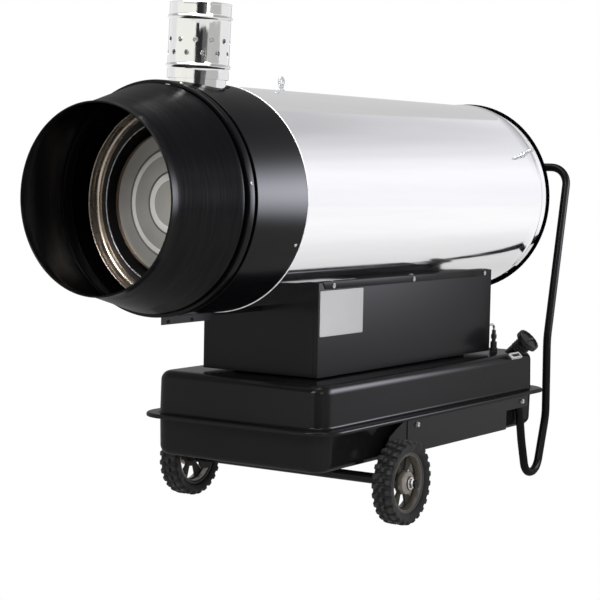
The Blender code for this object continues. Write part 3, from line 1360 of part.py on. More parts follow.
def tyre(name, side):
    """Pneumatic tyre whose shoulders are cut into lugs."""
    half = TYRE_WIDTH / 2
    bead = outside_fit(RIM_RADIUS - 3 * RIM_WALL, 2 * TYRE_LUGS)
    inside = half - 2 * RIM_WALL - GAP
    bm = bmesh.new()
    rings = []
    for number in range(4 * TYRE_LUGS):
        lug = number // 4
        part = number % 4
        turn = 2 * pi * (lug + LUG_PHASE_SHARES[part]) / TYRE_LUGS - pi / 2
        groove = 0 if part in (0, 1) else LUG_DEPTH
        crown = WHEEL_RADIUS - groove / 3
        shoulder = WHEEL_RADIUS - groove
        drop = TYRE_SHOULDER_DROP_SHARE * WHEEL_RADIUS
        section = [
            (bead, inside), (RIM_RADIUS + GAP, half * TYRE_BEAD_SHARE), ((RIM_RADIUS + WHEEL_RADIUS) / 2, half),
            (shoulder - drop, half * TYRE_SHOULDER_SHARE - groove / 2), (crown, half * TYRE_CROWN_SHARE),
        ]
        whole = section + [(r, -h) for r, h in reversed(section)]
        rings.append([bm.verts.new((r * cos(turn), r * sin(turn), h)) for r, h in whole])
    for first, second in zip(rings, rings[1:] + rings[:1]):
        for k in range(len(first)):
            n = (k + 1) % len(first)
            bm.faces.new((first[k], second[k], second[n], first[n]))
    bmesh.ops.recalc_face_normals(bm, faces=bm.faces)
    ring = from_bmesh(name, bm, tyre_rubber)
    return wheel_place(ring, side)


def axle_nut(name, side):
    """Washer and hexagon nut that hold the wheel on."""
    bore = (STUB_RADIUS + GAP) / cos(pi / SMALL_STEPS)
    start = HUB_LENGTH / 2 + GAP
    washer_top = start + AXLE_WASHER
    profile = [(bore, washer_top), (AXLE_WASHER_RADIUS, washer_top), (AXLE_WASHER_RADIUS, start), (bore, start)]
    nut = turned(name, profile, zinc, SMALL_STEPS, closed=True)
    wheel_place(nut, side)
    hexagon = circle((0, 0), AXLE_NUT_WIDTH / 2 / cos(pi / 6), 6)
    head = flat(name + "_hexagon", [hexagon, circle((0, 0), bore)], AXLE_NUT_LENGTH + AXLE_WASHER / 2)
    middle = washer_top - AXLE_WASHER / 2 + (AXLE_NUT_LENGTH + AXLE_WASHER / 2) / 2
    return fuse(nut, wheel_place(head, side, middle))


def handle():
    """One bent tube: foot bolt, ground foot, upright and crossbar."""
    reach = HANDLE_BAR_STATION - HANDLE_FOOT_STATION
    bolt = at(HANDLE_X, HANDLE_FOOT_STATION, RAIL_BOLT_Z)
    corners = []
    for along, up in HANDLE_FOOT_SHARES:
        height = max(HANDLE_TUBE_RADIUS, up * RAIL_BOLT_Z)
        corners.append(at(HANDLE_X, HANDLE_FOOT_STATION + along * reach, height))
    for along, up in HANDLE_UPRIGHT_SHARES:
        corners.append(at(HANDLE_X, HANDLE_FOOT_STATION + along * reach, up * HANDLE_BAR_HEIGHT))
    corners.insert(0, bolt + (bolt - corners[0]).normalized() * HANDLE_TUBE_RADIUS)
    mirrored = [Vector((-p.x, p.y, p.z)) for p in reversed(corners)]
    radii = [share * HANDLE_CORNER for share in HANDLE_BEND_RADII_SHARES]
    bends = [*radii, HANDLE_CORNER, HANDLE_CORNER, *reversed(radii)]
    path = rounded_path([*corners, *mirrored], bends)
    tube = bar("handle_tube", path, HANDLE_TUBE_RADIUS, black_paint, resolution=2, wall=HANDLE_TUBE_WALL)
    for side in (-1, 1):
        hole = cylinder(f"handle_hole_{side + 1}", BOLT_SHANK_RADIUS + GAP, -RAIL_LIP, RAIL_LIP, SMALL_STEPS)
        put(hole, at(side * HANDLE_X, HANDLE_FOOT_STATION, RAIL_BOLT_Z), (0, pi / 2, 0))
        cut(tube, hole)
    return tube


# Lifting eyes

def lifting_eye(name, station, turn):
    """Ring, shank and collar, standing on the stainless cover."""
    bm = bmesh.new()
    major = 12
    minor = 6
    rings = []
    for i in range(major):
        u = 2 * pi * i / major
        ring = []
        for j in range(minor):
            v = 2 * pi * j / minor
            reach = EYE_RING_RADIUS + EYE_WIRE_RADIUS * cos(v)
            ring.append(bm.verts.new((EYE_WIRE_RADIUS * sin(v), reach * cos(u), reach * sin(u))))
        rings.append(ring)
    for a, b in zip(rings, rings[1:] + rings[:1]):
        for j in range(minor):
            n = (j + 1) % minor
            bm.faces.new((a[j], b[j], b[n], a[n]))
    bmesh.ops.recalc_face_normals(bm, faces=bm.faces)
    eye = from_bmesh(name, bm, zinc)
    axis = at(0, station, AXIS_Z)
    out = Vector((sin(turn), 0, cos(turn)))
    put(eye, axis + out * (CASING_RADIUS + EYE_HEIGHT), (0, turn, 0))
    foot = CASING_RADIUS + GAP
    ring_low = CASING_RADIUS + EYE_HEIGHT - EYE_RING_RADIUS
    profile = [
        (EYE_WIRE_RADIUS, ring_low), (EYE_WIRE_RADIUS, foot + EYE_COLLAR),
        (EYE_COLLAR_RADIUS, foot + EYE_COLLAR), (EYE_COLLAR_RADIUS, foot),
    ]
    shank = disc_stack(name + "_shank", profile, None, 12)
    put(shank, axis, (0, turn, 0))
    return fuse(eye, shank)


def build():
    belly_cutter("belly_clearance", outside_fit(BELLY_RADIUS, CASING_STEPS))
    tank_envelope()
    outlet_cone()
    seam_collar()
    front_ring()
    joint_band()
    upper_shell()
    lower_shell()
    rear_trim_ring()
    rear_guard()
    heat_exchanger()
    combustion_chamber()
    flue_pipe()
    blast_tube()
    burner_body()
    fan_impeller()
    fan_motor()
    motor_spider()
    cabinet_front_panel()
    cabinet_rear_panel()
    cabinet_floor()
    control_plate()
    selector_knob()
    reset_button()
    pilot_lamp()
    cable_gland()
    fuel_pump()
    ignition_transformer()
    control_unit()
    tank_upper()
    tank_lower()
    filler_neck()
    fuel_cap()
    fuel_gauge()
    suction_fitting()
    suction_pipe()
    drain_plug()
    axle()
    handle()
    for name, share in zip(("cabinet_packer_front", "cabinet_packer_rear"), PACKER_STATION_SHARES):
        cabinet_packer(name, CABINET_FRONT + share * CABINET_LENGTH)
    for hand, side in (("right", 1), ("left", -1)):
        cabinet_side("cabinet_side_" + hand, side)
        side_rail("side_rail_" + hand, side)
        axle_bracket("axle_bracket_" + hand, side)
        wheel_rim("wheel_rim_" + hand, side)
        tyre("tyre_" + hand, side)
        axle_nut("axle_nut_" + hand, side)
        front_bolt, rear_bolt = rail_bolt_places()
        rail_bolt("rail_bolt_" + hand, side, front_bolt, SHEET + BRACKET_PLATE)
        rail_bolt("handle_bolt_" + hand, side, rear_bolt, SHEET + HANDLE_TUBE_RADIUS)
    lifting_eye("lifting_eye_front", EYE_STATION_FRONT, 0)
    lifting_eye("lifting_eye_rear_right", EYE_STATION_REAR, EYE_REAR_ANGLE)
    lifting_eye("lifting_eye_rear_left", EYE_STATION_REAR, -EYE_REAR_ANGLE)


build()
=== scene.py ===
from math import asin, cos, pi, radians, sin, tan

import bmesh
import bpy
from mathutils import Matrix, Vector


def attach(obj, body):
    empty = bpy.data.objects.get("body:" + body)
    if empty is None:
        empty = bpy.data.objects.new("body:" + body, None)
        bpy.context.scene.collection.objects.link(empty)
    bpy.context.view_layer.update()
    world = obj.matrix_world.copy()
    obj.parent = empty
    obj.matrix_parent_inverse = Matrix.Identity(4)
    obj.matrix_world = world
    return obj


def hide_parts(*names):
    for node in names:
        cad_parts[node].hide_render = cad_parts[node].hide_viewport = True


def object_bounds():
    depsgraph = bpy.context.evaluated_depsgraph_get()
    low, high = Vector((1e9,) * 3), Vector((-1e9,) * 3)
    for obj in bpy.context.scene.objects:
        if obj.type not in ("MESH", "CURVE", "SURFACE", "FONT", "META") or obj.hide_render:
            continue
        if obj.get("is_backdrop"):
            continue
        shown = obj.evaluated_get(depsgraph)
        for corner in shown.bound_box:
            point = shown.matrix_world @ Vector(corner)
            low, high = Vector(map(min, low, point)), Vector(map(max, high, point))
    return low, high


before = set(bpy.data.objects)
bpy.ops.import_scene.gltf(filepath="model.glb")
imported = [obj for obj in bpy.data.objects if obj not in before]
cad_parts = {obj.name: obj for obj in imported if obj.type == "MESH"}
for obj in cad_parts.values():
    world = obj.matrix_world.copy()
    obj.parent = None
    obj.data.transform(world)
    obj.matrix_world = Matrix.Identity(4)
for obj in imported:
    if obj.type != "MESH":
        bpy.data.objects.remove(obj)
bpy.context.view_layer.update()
print("frame loaded")

xAxis, yAxis, zAxis = Vector((1, 0, 0)), Vector((0, 1, 0)), Vector((0, 0, 1))
lipY = -0.8615  # outlet lip; every station below is a distance back from it
axisZ = 0.742  # axis of the casing
drumZ = 0.732  # axis of the exchanger and the chamber
tankTop = 0.3344
scene = bpy.context.scene
scene.view_settings.view_transform = "Standard"


def at(x, station, z):
    return Vector((x, lipY + station, z))


def setAll(thing, **settings):
    for key, value in settings.items():
        setattr(thing, key, value)
    return thing


def addObject(name, data):
    made = bpy.data.objects.new(name, data)
    scene.collection.objects.link(made)
    return made


def leaning(turn):  # a direction, in degrees from upright to the right side
    return Vector((sin(radians(turn)), 0, cos(radians(turn))))


# Camera and studio

view = {"lens": 106.677, "clip": 60, "stand": (2.31676, -2.76812, 0.81638), "azimuth": 33.2544,
        "elevation": 4.2919, "roll": 1.1529}
studio = {
    "floorHalf": 9, "floorColor": (0.82, 0.81, 0.8), "floorShadowReach": (0.15, 1.15), "floorShadowLevels": (0.74, 1.12),
    "skyBlue": 1.03, "wallY": -0.53,
    "sky": ((0, 0.6), (0.46, 1.08), (0.62, 1.12), (0.66, 1.05), (0.705, 0.9), (0.745, 0.74), (0.775, 0.6),
            (1, 0.44)),  # place from straight down to straight up, and level
}
wallCards = {  # seen in reflections only: azimuths of both ends, reach, foot, top, color, shine
    "leftPanel": (-58, 22, 3.6, 0.15, 1.9, (1, 1, 0.95), 1.25),
    "darkGap": (23, 47, 3.6, 0.15, 2.6, (1, 1, 1), 0.03),
    "rightPanel": (47, 66, 3.6, 0.15, 2.6, (1, 1, 1), 0.16),
    "sidePanel": (66, 118, 3.6, 0.15, 1.9, (1, 1, 1), 0.64),
    "farPanel": (188, 240, 4.6, 1.1, 4.6, (1, 1, 1), 0.66),
}
lamps = {  # place, target, width, height, power
    "topBox": ((-0.2, -0.4, 3.4), (0, 0, 0.6), 3, 2, 96),
    "frontBox": ((0.6, -3.9, 2.9), (0, -0.6, 0.7), 1.8, 1.2, 100),
    "keyBox": ((3.2, -1.6, 1.75), (0, 0, 0.6), 1.4, 1.3, 30),
}
glow = {
    "place": (1.304, 1.968), "turn": -33.5, "ends": (-1.5, 2), "heights": (0.01, 2.8),
    "color": (0.92, 0.93, 1.04), "base": 2.71828,
    "band": (22, 0.915, 0.45), "haze": (0.6, 1.35, 0.75),  # level, height, spread
    "bandRise": (-0.8, -0.2, 0, 1), "bandFall": (0.15, 1.25, 1, 0.1),
    "hazeRise": (-1.45, -0.3, 0, 1), "footFade": (0.02, 0.55, 0, 1), "endFade": (1.1, 1.95, 1, 0),
}


def makeCamera():
    data = setAll(bpy.data.cameras.new("photoCamera"), lens=view["lens"], clip_end=view["clip"])
    camera = addObject("photoCamera", data)
    a, e, r = (radians(view[k]) for k in ("azimuth", "elevation", "roll"))
    back = Vector((sin(a) * cos(e), -cos(a) * cos(e), sin(e)))
    right = Vector((cos(a), sin(a), 0))
    up = back.cross(right)
    turned = right * cos(r) + up * sin(r)
    camera.matrix_world = Matrix.Translation(at(*view["stand"])) @ Matrix(
        (turned, back.cross(turned), back)).transposed().to_4x4()
    scene.camera = camera


def nodeTree(owner):
    owner.use_nodes = True
    owner.node_tree.nodes.clear()
    return owner.node_tree


def addNode(tree, kind, inputs=None, **settings):  # an input takes a value or another node's socket
    node = setAll(tree.nodes.new("ShaderNode" + kind), **settings)
    for key, value in (inputs or {}).items():
        if isinstance(value, bpy.types.NodeSocket):
            tree.links.new(value, node.inputs[key])
        else:
            node.inputs[key].default_value = value
    return node


def mapRange(tree, value, low, high, start, end, blend="LINEAR"):
    sockets = {"Value": value, "From Min": low, "From Max": high, "To Min": start, "To Max": end}
    return addNode(tree, "MapRange", sockets, interpolation_type=blend).outputs["Result"]


def mixShaders(tree, share, first, second):
    return addNode(tree, "MixShader", {0: share, 1: first.outputs[0], 2: second.outputs[0]})


def endWith(tree, shader, kind="Material"):
    addNode(tree, "Output" + kind, {"Surface": shader.outputs[0]})


def splitCoords(tree, kind="Object"):
    return addNode(tree, "SeparateXYZ", {0: addNode(tree, "TexCoord").outputs[kind]}).outputs


def makeWorld():
    scene.world = bpy.data.worlds.new("studioWorld")
    tree = nodeTree(scene.world)
    height = mapRange(tree, splitCoords(tree, "Generated")["Z"], -1, 1, 0, 1)
    ramp = addNode(tree, "ValToRGB", {"Fac": height})
    ramp.color_ramp.interpolation = "EASE"
    while len(ramp.color_ramp.elements) < len(studio["sky"]):
        ramp.color_ramp.elements.new(0.5)
    for element, (place, level) in zip(ramp.color_ramp.elements, studio["sky"]):
        element.position = place
        element.color = (level, level, level * studio["skyBlue"], 1)
    air = addNode(tree, "Background", {"Color": ramp.outputs["Color"]})
    paper = addNode(tree, "Background", {"Color": (1, 1, 1, 1)})
    rays = addNode(tree, "LightPath").outputs
    endWith(tree, mixShaders(tree, rays["Is Camera Ray"], air, paper), "World")


def panelMaterial(name, color, shine):
    made = bpy.data.materials.new(name)
    tree = nodeTree(made)
    matte = addNode(tree, "BsdfDiffuse", {"Color": (*color, 1)})
    light = addNode(tree, "Emission", {"Color": (*color, 1), "Strength": shine})
    rays = addNode(tree, "LightPath").outputs
    endWith(tree, mixShaders(tree, rays["Is Glossy Ray"], matte, light))
    return made


def floorMaterial():
    made = bpy.data.materials.new("floorPaper")
    tree = nodeTree(made)
    matte = addNode(tree, "BsdfDiffuse", {"Color": (*studio["floorColor"], 1)})
    # painted shadow: in reflections the floor is dimmer close to the heater's middle line, standing for the
    # shadow it casts
    away = addNode(tree, "Math", {0: splitCoords(tree)["X"]}, operation="ABSOLUTE").outputs[0]
    level = mapRange(tree, away, *studio["floorShadowReach"], *studio["floorShadowLevels"])
    shine, paper = addNode(tree, "Emission", {"Strength": level}), addNode(tree, "Emission")
    rays = addNode(tree, "LightPath").outputs
    mirrored = mixShaders(tree, rays["Is Glossy Ray"], matte, shine)
    endWith(tree, mixShaders(tree, rays["Is Camera Ray"], mirrored, paper))
    return made


def stageCard(name, corners, finish, hidden=()):
    mesh = bpy.data.meshes.new(name)
    mesh.from_pydata([tuple(c) for c in corners], [], [(0, 1, 2, 3)])
    mesh.materials.append(finish)
    card = addObject(name, mesh)
    for ray in hidden:
        setattr(card, "visible_" + ray, False)
    card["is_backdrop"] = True
    return card


def wallCard(name):
    start, end, reach, low, high, color, shine = wallCards[name]
    (ax, ay), (bx, by) = [(reach * sin(radians(turn)), studio["wallY"] - reach * cos(radians(turn)))
                          for turn in (start, end)]
    stageCard(name, [(ax, ay, low), (bx, by, low), (bx, by, high), (ax, ay, high)],
              panelMaterial(name, color, shine), ("camera", "diffuse", "shadow"))


def glowCard():
    made = bpy.data.materials.new("glow")
    tree = nodeTree(made)

    def math(action, first, second):
        return addNode(tree, "Math", {0: first, 1: second}, operation=action).outputs[0]

    def fade(value, name):
        return mapRange(tree, value, *glow[name], "SMOOTHSTEP")

    def bell(name):
        level, height, spread = glow[name]
        rise = math("DIVIDE", math("SUBTRACT", split["Z"], height), spread)
        fall = math("MULTIPLY", math("MULTIPLY", rise, rise), -1)
        return math("MULTIPLY", math("POWER", glow["base"], fall), level)

    split = splitCoords(tree)
    aside = split["X"]
    band = math("MULTIPLY", math("MULTIPLY", bell("band"), fade(aside, "bandRise")), fade(aside, "bandFall"))
    haze = math("MULTIPLY", bell("haze"), fade(aside, "hazeRise"))
    ends = math("MULTIPLY", fade(split["Z"], "footFade"), fade(aside, "endFade"))
    level = math("MULTIPLY", math("ADD", band, haze), ends)
    light = addNode(tree, "Emission", {"Color": (*glow["color"], 1), "Strength": level})
    clear = addNode(tree, "BsdfTransparent")
    endWith(tree, addNode(tree, "AddShader", {0: light.outputs[0], 1: clear.outputs[0]}))
    (left, right), (foot, top) = glow["ends"], glow["heights"]
    card = stageCard("glowCard", [(left, 0, foot), (right, 0, foot), (right, 0, top), (left, 0, top)], made,
                     ("camera", "diffuse"))
    card.location = at(*glow["place"], 0)
    card.rotation_euler[2] = radians(glow["turn"])
    return card


def keepFromGlow(card, names):  # only sky and panels light these pieces
    group = bpy.data.collections.new("glowShield")
    for name in names:
        group.objects.link(bpy.data.objects[name])
    card.light_linking.receiver_collection = group
    for entry in group.collection_objects:
        entry.light_linking.link_state = "EXCLUDE"


def areaLight(name):
    place, target, width, height, power = lamps[name]
    data = setAll(bpy.data.lights.new(name, "AREA"), shape="RECTANGLE", size=width, size_y=height, energy=power)
    lamp = addObject(name, data)
    lamp.location = place
    lamp.rotation_euler = (Vector(target) - Vector(place)).to_track_quat("-Z", "Y").to_euler()


makeCamera()
makeWorld()
half = studio["floorHalf"]
stageCard("floor", [(-half, -half, 0), (half, -half, 0), (half, half, 0), (-half, half, 0)], floorMaterial())
glowBoard = glowCard()
areaLight("topBox")
for name in wallCards:
    wallCard(name)
areaLight("frontBox")
areaLight("keyBox")
print("studio set")


# Finishes

texture = {
    "span": (0.3, 0.7), "patchDetail": 6, "wearDetail": 8, "wearScale": 4, "brushDetail": 5, "bumpDetail": 3,
    "grainDepth": 0.0002, "rippleDepth": 0.004, "leastRough": 0.02,
}


def makeFinish(name, color, tint, rough, metal=0, patch=6, grain=0, grainScale=900, along=(1, 1, 1),
               spread=0.08, coat=0, coatRough=0.08, ripple=0, rippleScale=3, brush=0, level=0.5):
    made = bpy.data.materials.new(name)
    tree = nodeTree(made)
    coords = addNode(tree, "TexCoord").outputs["Object"]
    stretched = addNode(tree, "Mapping", {"Vector": coords, "Scale": along}).outputs[0]

    def noise(scale, detail):
        return addNode(tree, "TexNoise", {"Scale": scale, "Detail": detail, "Vector": stretched}).outputs["Fac"]

    patches = noise(patch, texture["patchDetail"])
    mix = addNode(tree, "Mix", {0: patches, 6: (*color, 1), 7: (*tint, 1)}, data_type="RGBA")
    wear = noise(patch * texture["wearScale"], texture["wearDetail"])
    least = max(texture["leastRough"], rough - spread)
    sockets = {
        "Base Color": mix.outputs[2], "Metallic": metal, "Specular IOR Level": level, "Coat Weight": coat,
        "Coat Roughness": coatRough,
        "Roughness": mapRange(tree, wear, *texture["span"], least, rough + spread),
    }
    if brush:
        lines = noise(grainScale, texture["brushDetail"])
        sockets["Coat Weight"] = mapRange(tree, lines, *texture["span"], coat * (1 - brush), coat * (1 + brush))
    for strength, scale, depth in ((grain, grainScale, texture["grainDepth"]),
                                   (ripple, rippleScale, texture["rippleDepth"])):
        if strength:
            bump = {"Strength": strength, "Distance": depth, "Height": noise(scale, texture["bumpDetail"])}
            if "Normal" in sockets:
                bump["Normal"] = sockets["Normal"]
            sockets["Normal"] = sockets["Coat Normal"] = addNode(tree, "Bump", bump).outputs[0]
    endWith(tree, addNode(tree, "BsdfPrincipled", sockets))
    return made


# painted light: the tyre's tread tops are drawn lighter than the rubber between them, a painted highlight on the
# lugs with painted shade left in the grooves
def paintLightOutward(finish, centre, reach, color):  # the color changes with the distance from an axle
    tree = finish.node_tree
    base = next(n for n in tree.nodes if n.type == "BSDF_PRINCIPLED").inputs["Base Color"]
    way = next(n for n in tree.nodes if n.type == "TEX_COORD").outputs["Object"]
    for action, other in (("SUBTRACT", (0, *centre)), ("MULTIPLY", (0, 1, 1))):
        way = addNode(tree, "VectorMath", {0: way, 1: other}, operation=action).outputs[0]
    span = addNode(tree, "VectorMath", {0: way}, operation="LENGTH").outputs["Value"]
    share = mapRange(tree, span, *reach, 0, 1)
    mix = addNode(tree, "Mix", {0: share, 6: base.links[0].from_socket, 7: (*color, 1)}, data_type="RGBA")
    tree.links.new(mix.outputs[2], base)


blackPaint = makeFinish("blackPaint", (0.0066, 0.0064, 0.007), (0.0078, 0.0076, 0.0083), 0.5,
    grain=0.1, grainScale=1400, spread=0.03, patch=5, level=0, coat=0.19, coatRough=0.2)
ringPaint = makeFinish("ringPaint", (0.0014, 0.0013, 0.0017), (0.0024, 0.0023, 0.0028), 0.5,
    grain=0.06, grainScale=60, along=(0.5, 3, 0.5), spread=0.04, patch=3, level=0, coat=0.24,
    coatRough=0.18)
conePaint = makeFinish("conePaint", (0.0014, 0.0013, 0.0017), (0.0024, 0.0023, 0.0028), 0.5,
    grain=0.7, grainScale=26, along=(0.35, 7, 0.35), spread=0.04, patch=3, level=0, coat=0.2,
    coatRough=0.19, brush=0.22)
tankPaint = makeFinish("tankPaint", (0.0062, 0.006, 0.0064), (0.008, 0.0078, 0.0082), 0.5,
    grain=0.05, grainScale=700, spread=0.03, patch=4, ripple=0.06, rippleScale=7, level=0, coat=0.19,
    coatRough=0.14)
framePaint = makeFinish("framePaint", (0.0075, 0.0073, 0.0078), (0.0105, 0.0102, 0.0108), 0.5,
    grain=0.2, spread=0.05, patch=12, level=0, coat=0.3, coatRough=0.24)
# near-black: painted shade in the collar grooves, the cover holes and the axle end; the rear trim ring is drawn
# in it too
darkGap = makeFinish("darkGap", (0.0006, 0.0006, 0.0007), (0.0011, 0.0011, 0.0012), 0.6, level=0)
mirrorSteel = makeFinish("mirrorSteel", (0.9, 0.895, 0.9), (0.79, 0.79, 0.815), 0.075, 1,
    patch=9, along=(3, 0.16, 3), spread=0.03, ripple=0.1, rippleScale=2.6)
bandSteel = makeFinish("bandSteel", (0.85, 0.85, 0.86), (0.75, 0.75, 0.76), 0.3, 0.55,
    patch=20)
drumSteel = makeFinish("drumSteel", (0.36, 0.3, 0.245), (0.52, 0.46, 0.39), 0.25, 0.9, patch=7,
    along=(1, 0.3, 1), spread=0.1, grain=0.1, grainScale=500)
plateSteel = makeFinish("plateSteel", (0.045, 0.044, 0.044), (0.075, 0.074, 0.074), 0.45, 0.8,
    patch=12, grain=0.2)
chamberSteel = makeFinish("chamberSteel", (0.5, 0.485, 0.455), (0.36, 0.345, 0.32), 0.42,
    0.55, patch=14, grain=0.2, grainScale=420)
# painted highlight: a near-white copy of the chamber steel for the ridge slopes that face the light
ridgeHighlight = makeFinish("ridgeHighlight", (0.98, 0.97, 0.93), (0.86, 0.85, 0.81), 0.4, 0.3,
    patch=14, grain=0.2, grainScale=420)
# darker steel: painted shade in the chamber disc's grooves, and the burnt colour of the flue's weld spots
grooveShadeAndWeldBurn = makeFinish("grooveShadeAndWeldBurn", (0.16, 0.155, 0.145), (0.22, 0.21, 0.2), 0.5, 0.5,
    patch=14)
chamberBrown = makeFinish("chamberBrown", (0.12, 0.08, 0.055), (0.2, 0.15, 0.11), 0.38, 0.9,
    patch=10, grain=0.2)
flueSteel = makeFinish("flueSteel", (0.76, 0.76, 0.75), (0.64, 0.64, 0.635), 0.09, 1, patch=10,
    along=(1.6, 1.6, 0.3), grain=0.3, grainScale=300, spread=0.04, ripple=0.12, rippleScale=9)
zinc = makeFinish("zinc", (0.66, 0.66, 0.67), (0.5, 0.5, 0.5), 0.24, 1, patch=60, grain=0.2)
gaugeZinc = makeFinish("gaugeZinc", (0.7, 0.7, 0.71), (0.6, 0.6, 0.61), 0.45, 0.3, patch=60,
    grain=0.2)
dullZinc = makeFinish("dullZinc", (0.5, 0.51, 0.52), (0.62, 0.63, 0.64), 0.36, 0.9, patch=60,
    grain=0.2)
tyreRubber = makeFinish("tyreRubber", (0.0032, 0.0035, 0.0042), (0.006, 0.0062, 0.007), 0.5,
    patch=25, grain=0.5, grainScale=700, spread=0.1, level=0.2)
rimPlastic = makeFinish("rimPlastic", (0.022, 0.02, 0.018), (0.034, 0.031, 0.028), 0.36, 0.2,
    patch=30, grain=0.3, level=0.3)
rimDish = makeFinish("rimDish", (0.105, 0.094, 0.08), (0.07, 0.062, 0.053), 0.38, 0.35, patch=22,
    grain=0.3, level=0.3)
rimBoss = makeFinish("rimBoss", (0.25, 0.23, 0.2), (0.17, 0.155, 0.135), 0.36, 0.4, patch=22,
    grain=0.3, level=0.3)
# painted light: the inboard barrel is light beige so the rim windows read bright, standing for lit floor behind
# them
barrelPaintedLight = makeFinish("barrelPaintedLight", (0.6, 0.56, 0.5), (0.48, 0.45, 0.4), 0.45, patch=22,
    grain=0.3, level=0.3)
# painted shade: the web and its spokes are a darker copy of the rim plastic
rimWebPaintedShade = makeFinish("rimWebPaintedShade", (0.022, 0.019, 0.013), (0.034, 0.03, 0.022), 0.45, 0.1, patch=26,
    grain=0.3, level=0.12)
darkPlastic = makeFinish("darkPlastic", (0.0042, 0.0041, 0.0045), (0.0075, 0.0073, 0.0078),
    0.42, patch=30, grain=0.5, grainScale=1200, level=0.3)
neckRubber = makeFinish("neckRubber", (0.0035, 0.0034, 0.0036), (0.006, 0.0058, 0.006), 0.5,
    patch=40, grain=0.5, level=0.22)
handlePaint = makeFinish("handlePaint", (0.0025, 0.0024, 0.0027), (0.0045, 0.0043, 0.0047), 0.5,
    grain=0.2, spread=0.05, patch=12, level=0, coat=0.16, coatRough=0.22)
motorGrey = makeFinish("motorGrey", (0.22, 0.225, 0.23), (0.28, 0.285, 0.29), 0.42, 0.3, patch=16,
    grain=0.4, grainScale=500)
lampRed = makeFinish("lampRed", (0.45, 0.012, 0.01), (0.6, 0.02, 0.015), 0.18, patch=40, coat=0.5)
castAlloy = makeFinish("castAlloy", (0.46, 0.46, 0.465), (0.58, 0.58, 0.585), 0.45, 1, patch=30,
    grain=0.8, grainScale=600)
platePrint = makeFinish("platePrint", (0.42, 0.42, 0.43), (0.47, 0.47, 0.48), 0.5, patch=14, level=0.1,
    grain=0.15, spread=0.05)
print("finishes made")


# Shapes: each is a list of points and a list of faces

mergeGap = 2e-6
softEdge = {"sharp": 32, "weld": 0.00002, "segments": 2, "angle": 40}


def grid(rows, n, closed, loop):  # faces between rows of n points, with end caps on an open tube
    faces = []
    for k in range(rows if closed else rows - 1):
        p, q = k * n, (k + 1) % rows * n
        for i in range(n if loop else n - 1):
            j = (i + 1) % n
            faces.append((p + i, p + j, q + j, q + i))
    if loop and not closed:
        faces += [tuple(range(n)), tuple(range((rows - 1) * n, rows * n))]
    return faces


def spin(profile, origin, across, along, steps, start=0, sweep=2 * pi, loop=False):
    side = along.cross(across)
    full = sweep == 2 * pi
    rows = steps if full else steps + 1
    points = []
    for k in range(rows):
        turn = start + sweep * k / steps
        out = across * cos(turn) + side * sin(turn)
        points += [origin + along * h + out * r for r, h in profile]
    return points, grid(rows, len(profile), full, loop)


def thick(line, wall):
    outer, inner = [Vector(p) for p in line], []
    for k, p in enumerate(outer):
        first = max(0, k - 1)
        ways = [(b - a).normalized() for a, b in zip(outer[first:k + 1], outer[first + 1:k + 2])]
        normals = [Vector((-w.y, w.x)) for w in ways]
        middle = sum(normals, Vector((0, 0))).normalized()
        inner.append(p + middle * wall / max(0.4, middle.dot(normals[0])))
    return [tuple(p) for p in outer] + [tuple(p) for p in reversed(inner)]


def ringArc(centre, radius, start, end, steps):
    return [(centre[0] + radius * cos(start + (end - start) * k / steps),
             centre[1] + radius * sin(start + (end - start) * k / steps)) for k in range(steps + 1)]


def circle(radius, count, centre=(0, 0)):
    return ringArc(centre, radius, 0, 2 * pi * (count - 1) / count, count - 1)


def opening(middle, outer, far, outerSteps, inner, near, innerSteps):  # far and near are half angles
    return (ringArc((0, 0), outer, middle - far, middle + far, outerSteps)
            + ringArc((0, 0), inner, middle + near, middle - near, innerSteps))


def roundedRect(ends, sides, radius, steps, first=0):
    (left, right), (low, high) = ends, sides
    left, right, low, high = left + radius, right - radius, low + radius, high - radius
    centres, loop = ((right, high), (left, high), (left, low), (right, low)), []
    for k in range(first, first + 4):
        loop += ringArc(centres[k % 4], radius, k * pi / 2, (k + 1) * pi / 2, steps)
    return loop


def band(outer, inner, front, rear):
    return [(outer, front), (outer, rear), (inner, rear), (inner, front)]


def bead(radius, rise, half, station):
    return [(radius + rise * cos(pi * k / 8) ** 2, station - half * k / 4) for k in range(-4, 5)]


def box(size, centre):
    points = [Vector(centre) + Vector((sx * size[0] / 2, sy * size[1] / 2, sz * size[2] / 2))
              for sx in (-1, 1) for sy in (-1, 1) for sz in (-1, 1)]
    return points, [(0, 1, 3, 2), (4, 6, 7, 5), (0, 4, 5, 1), (2, 3, 7, 6), (0, 2, 6, 4), (1, 5, 7, 3)]


def finalMesh(thing):
    return bpy.data.meshes.new_from_object(thing.evaluated_get(bpy.context.evaluated_depsgraph_get()))


def plate(loops, thickness, origin, across, up, edge):
    curve = setAll(bpy.data.curves.new("outline", "CURVE"), dimensions="2D", fill_mode="BOTH",
                   extrude=thickness / 2 - edge, bevel_depth=edge, bevel_resolution=1, offset=-edge)
    for loop in loops:
        spline = curve.splines.new("POLY")
        spline.points.add(len(loop) - 1)
        spline.points.foreach_set("co", [v for p in loop for v in (*p, 0, 1)])
        spline.use_cyclic_u = True
    holder = addObject("outline", curve)
    mesh = finalMesh(holder)
    spread = Matrix((across, up, across.cross(up))).transposed()
    points = [Vector(origin) + spread @ v.co for v in mesh.vertices]
    faces = [tuple(f.vertices) for f in mesh.polygons]
    bpy.data.objects.remove(holder)
    bpy.data.meshes.remove(mesh)
    bpy.data.curves.remove(curve)
    return points, faces


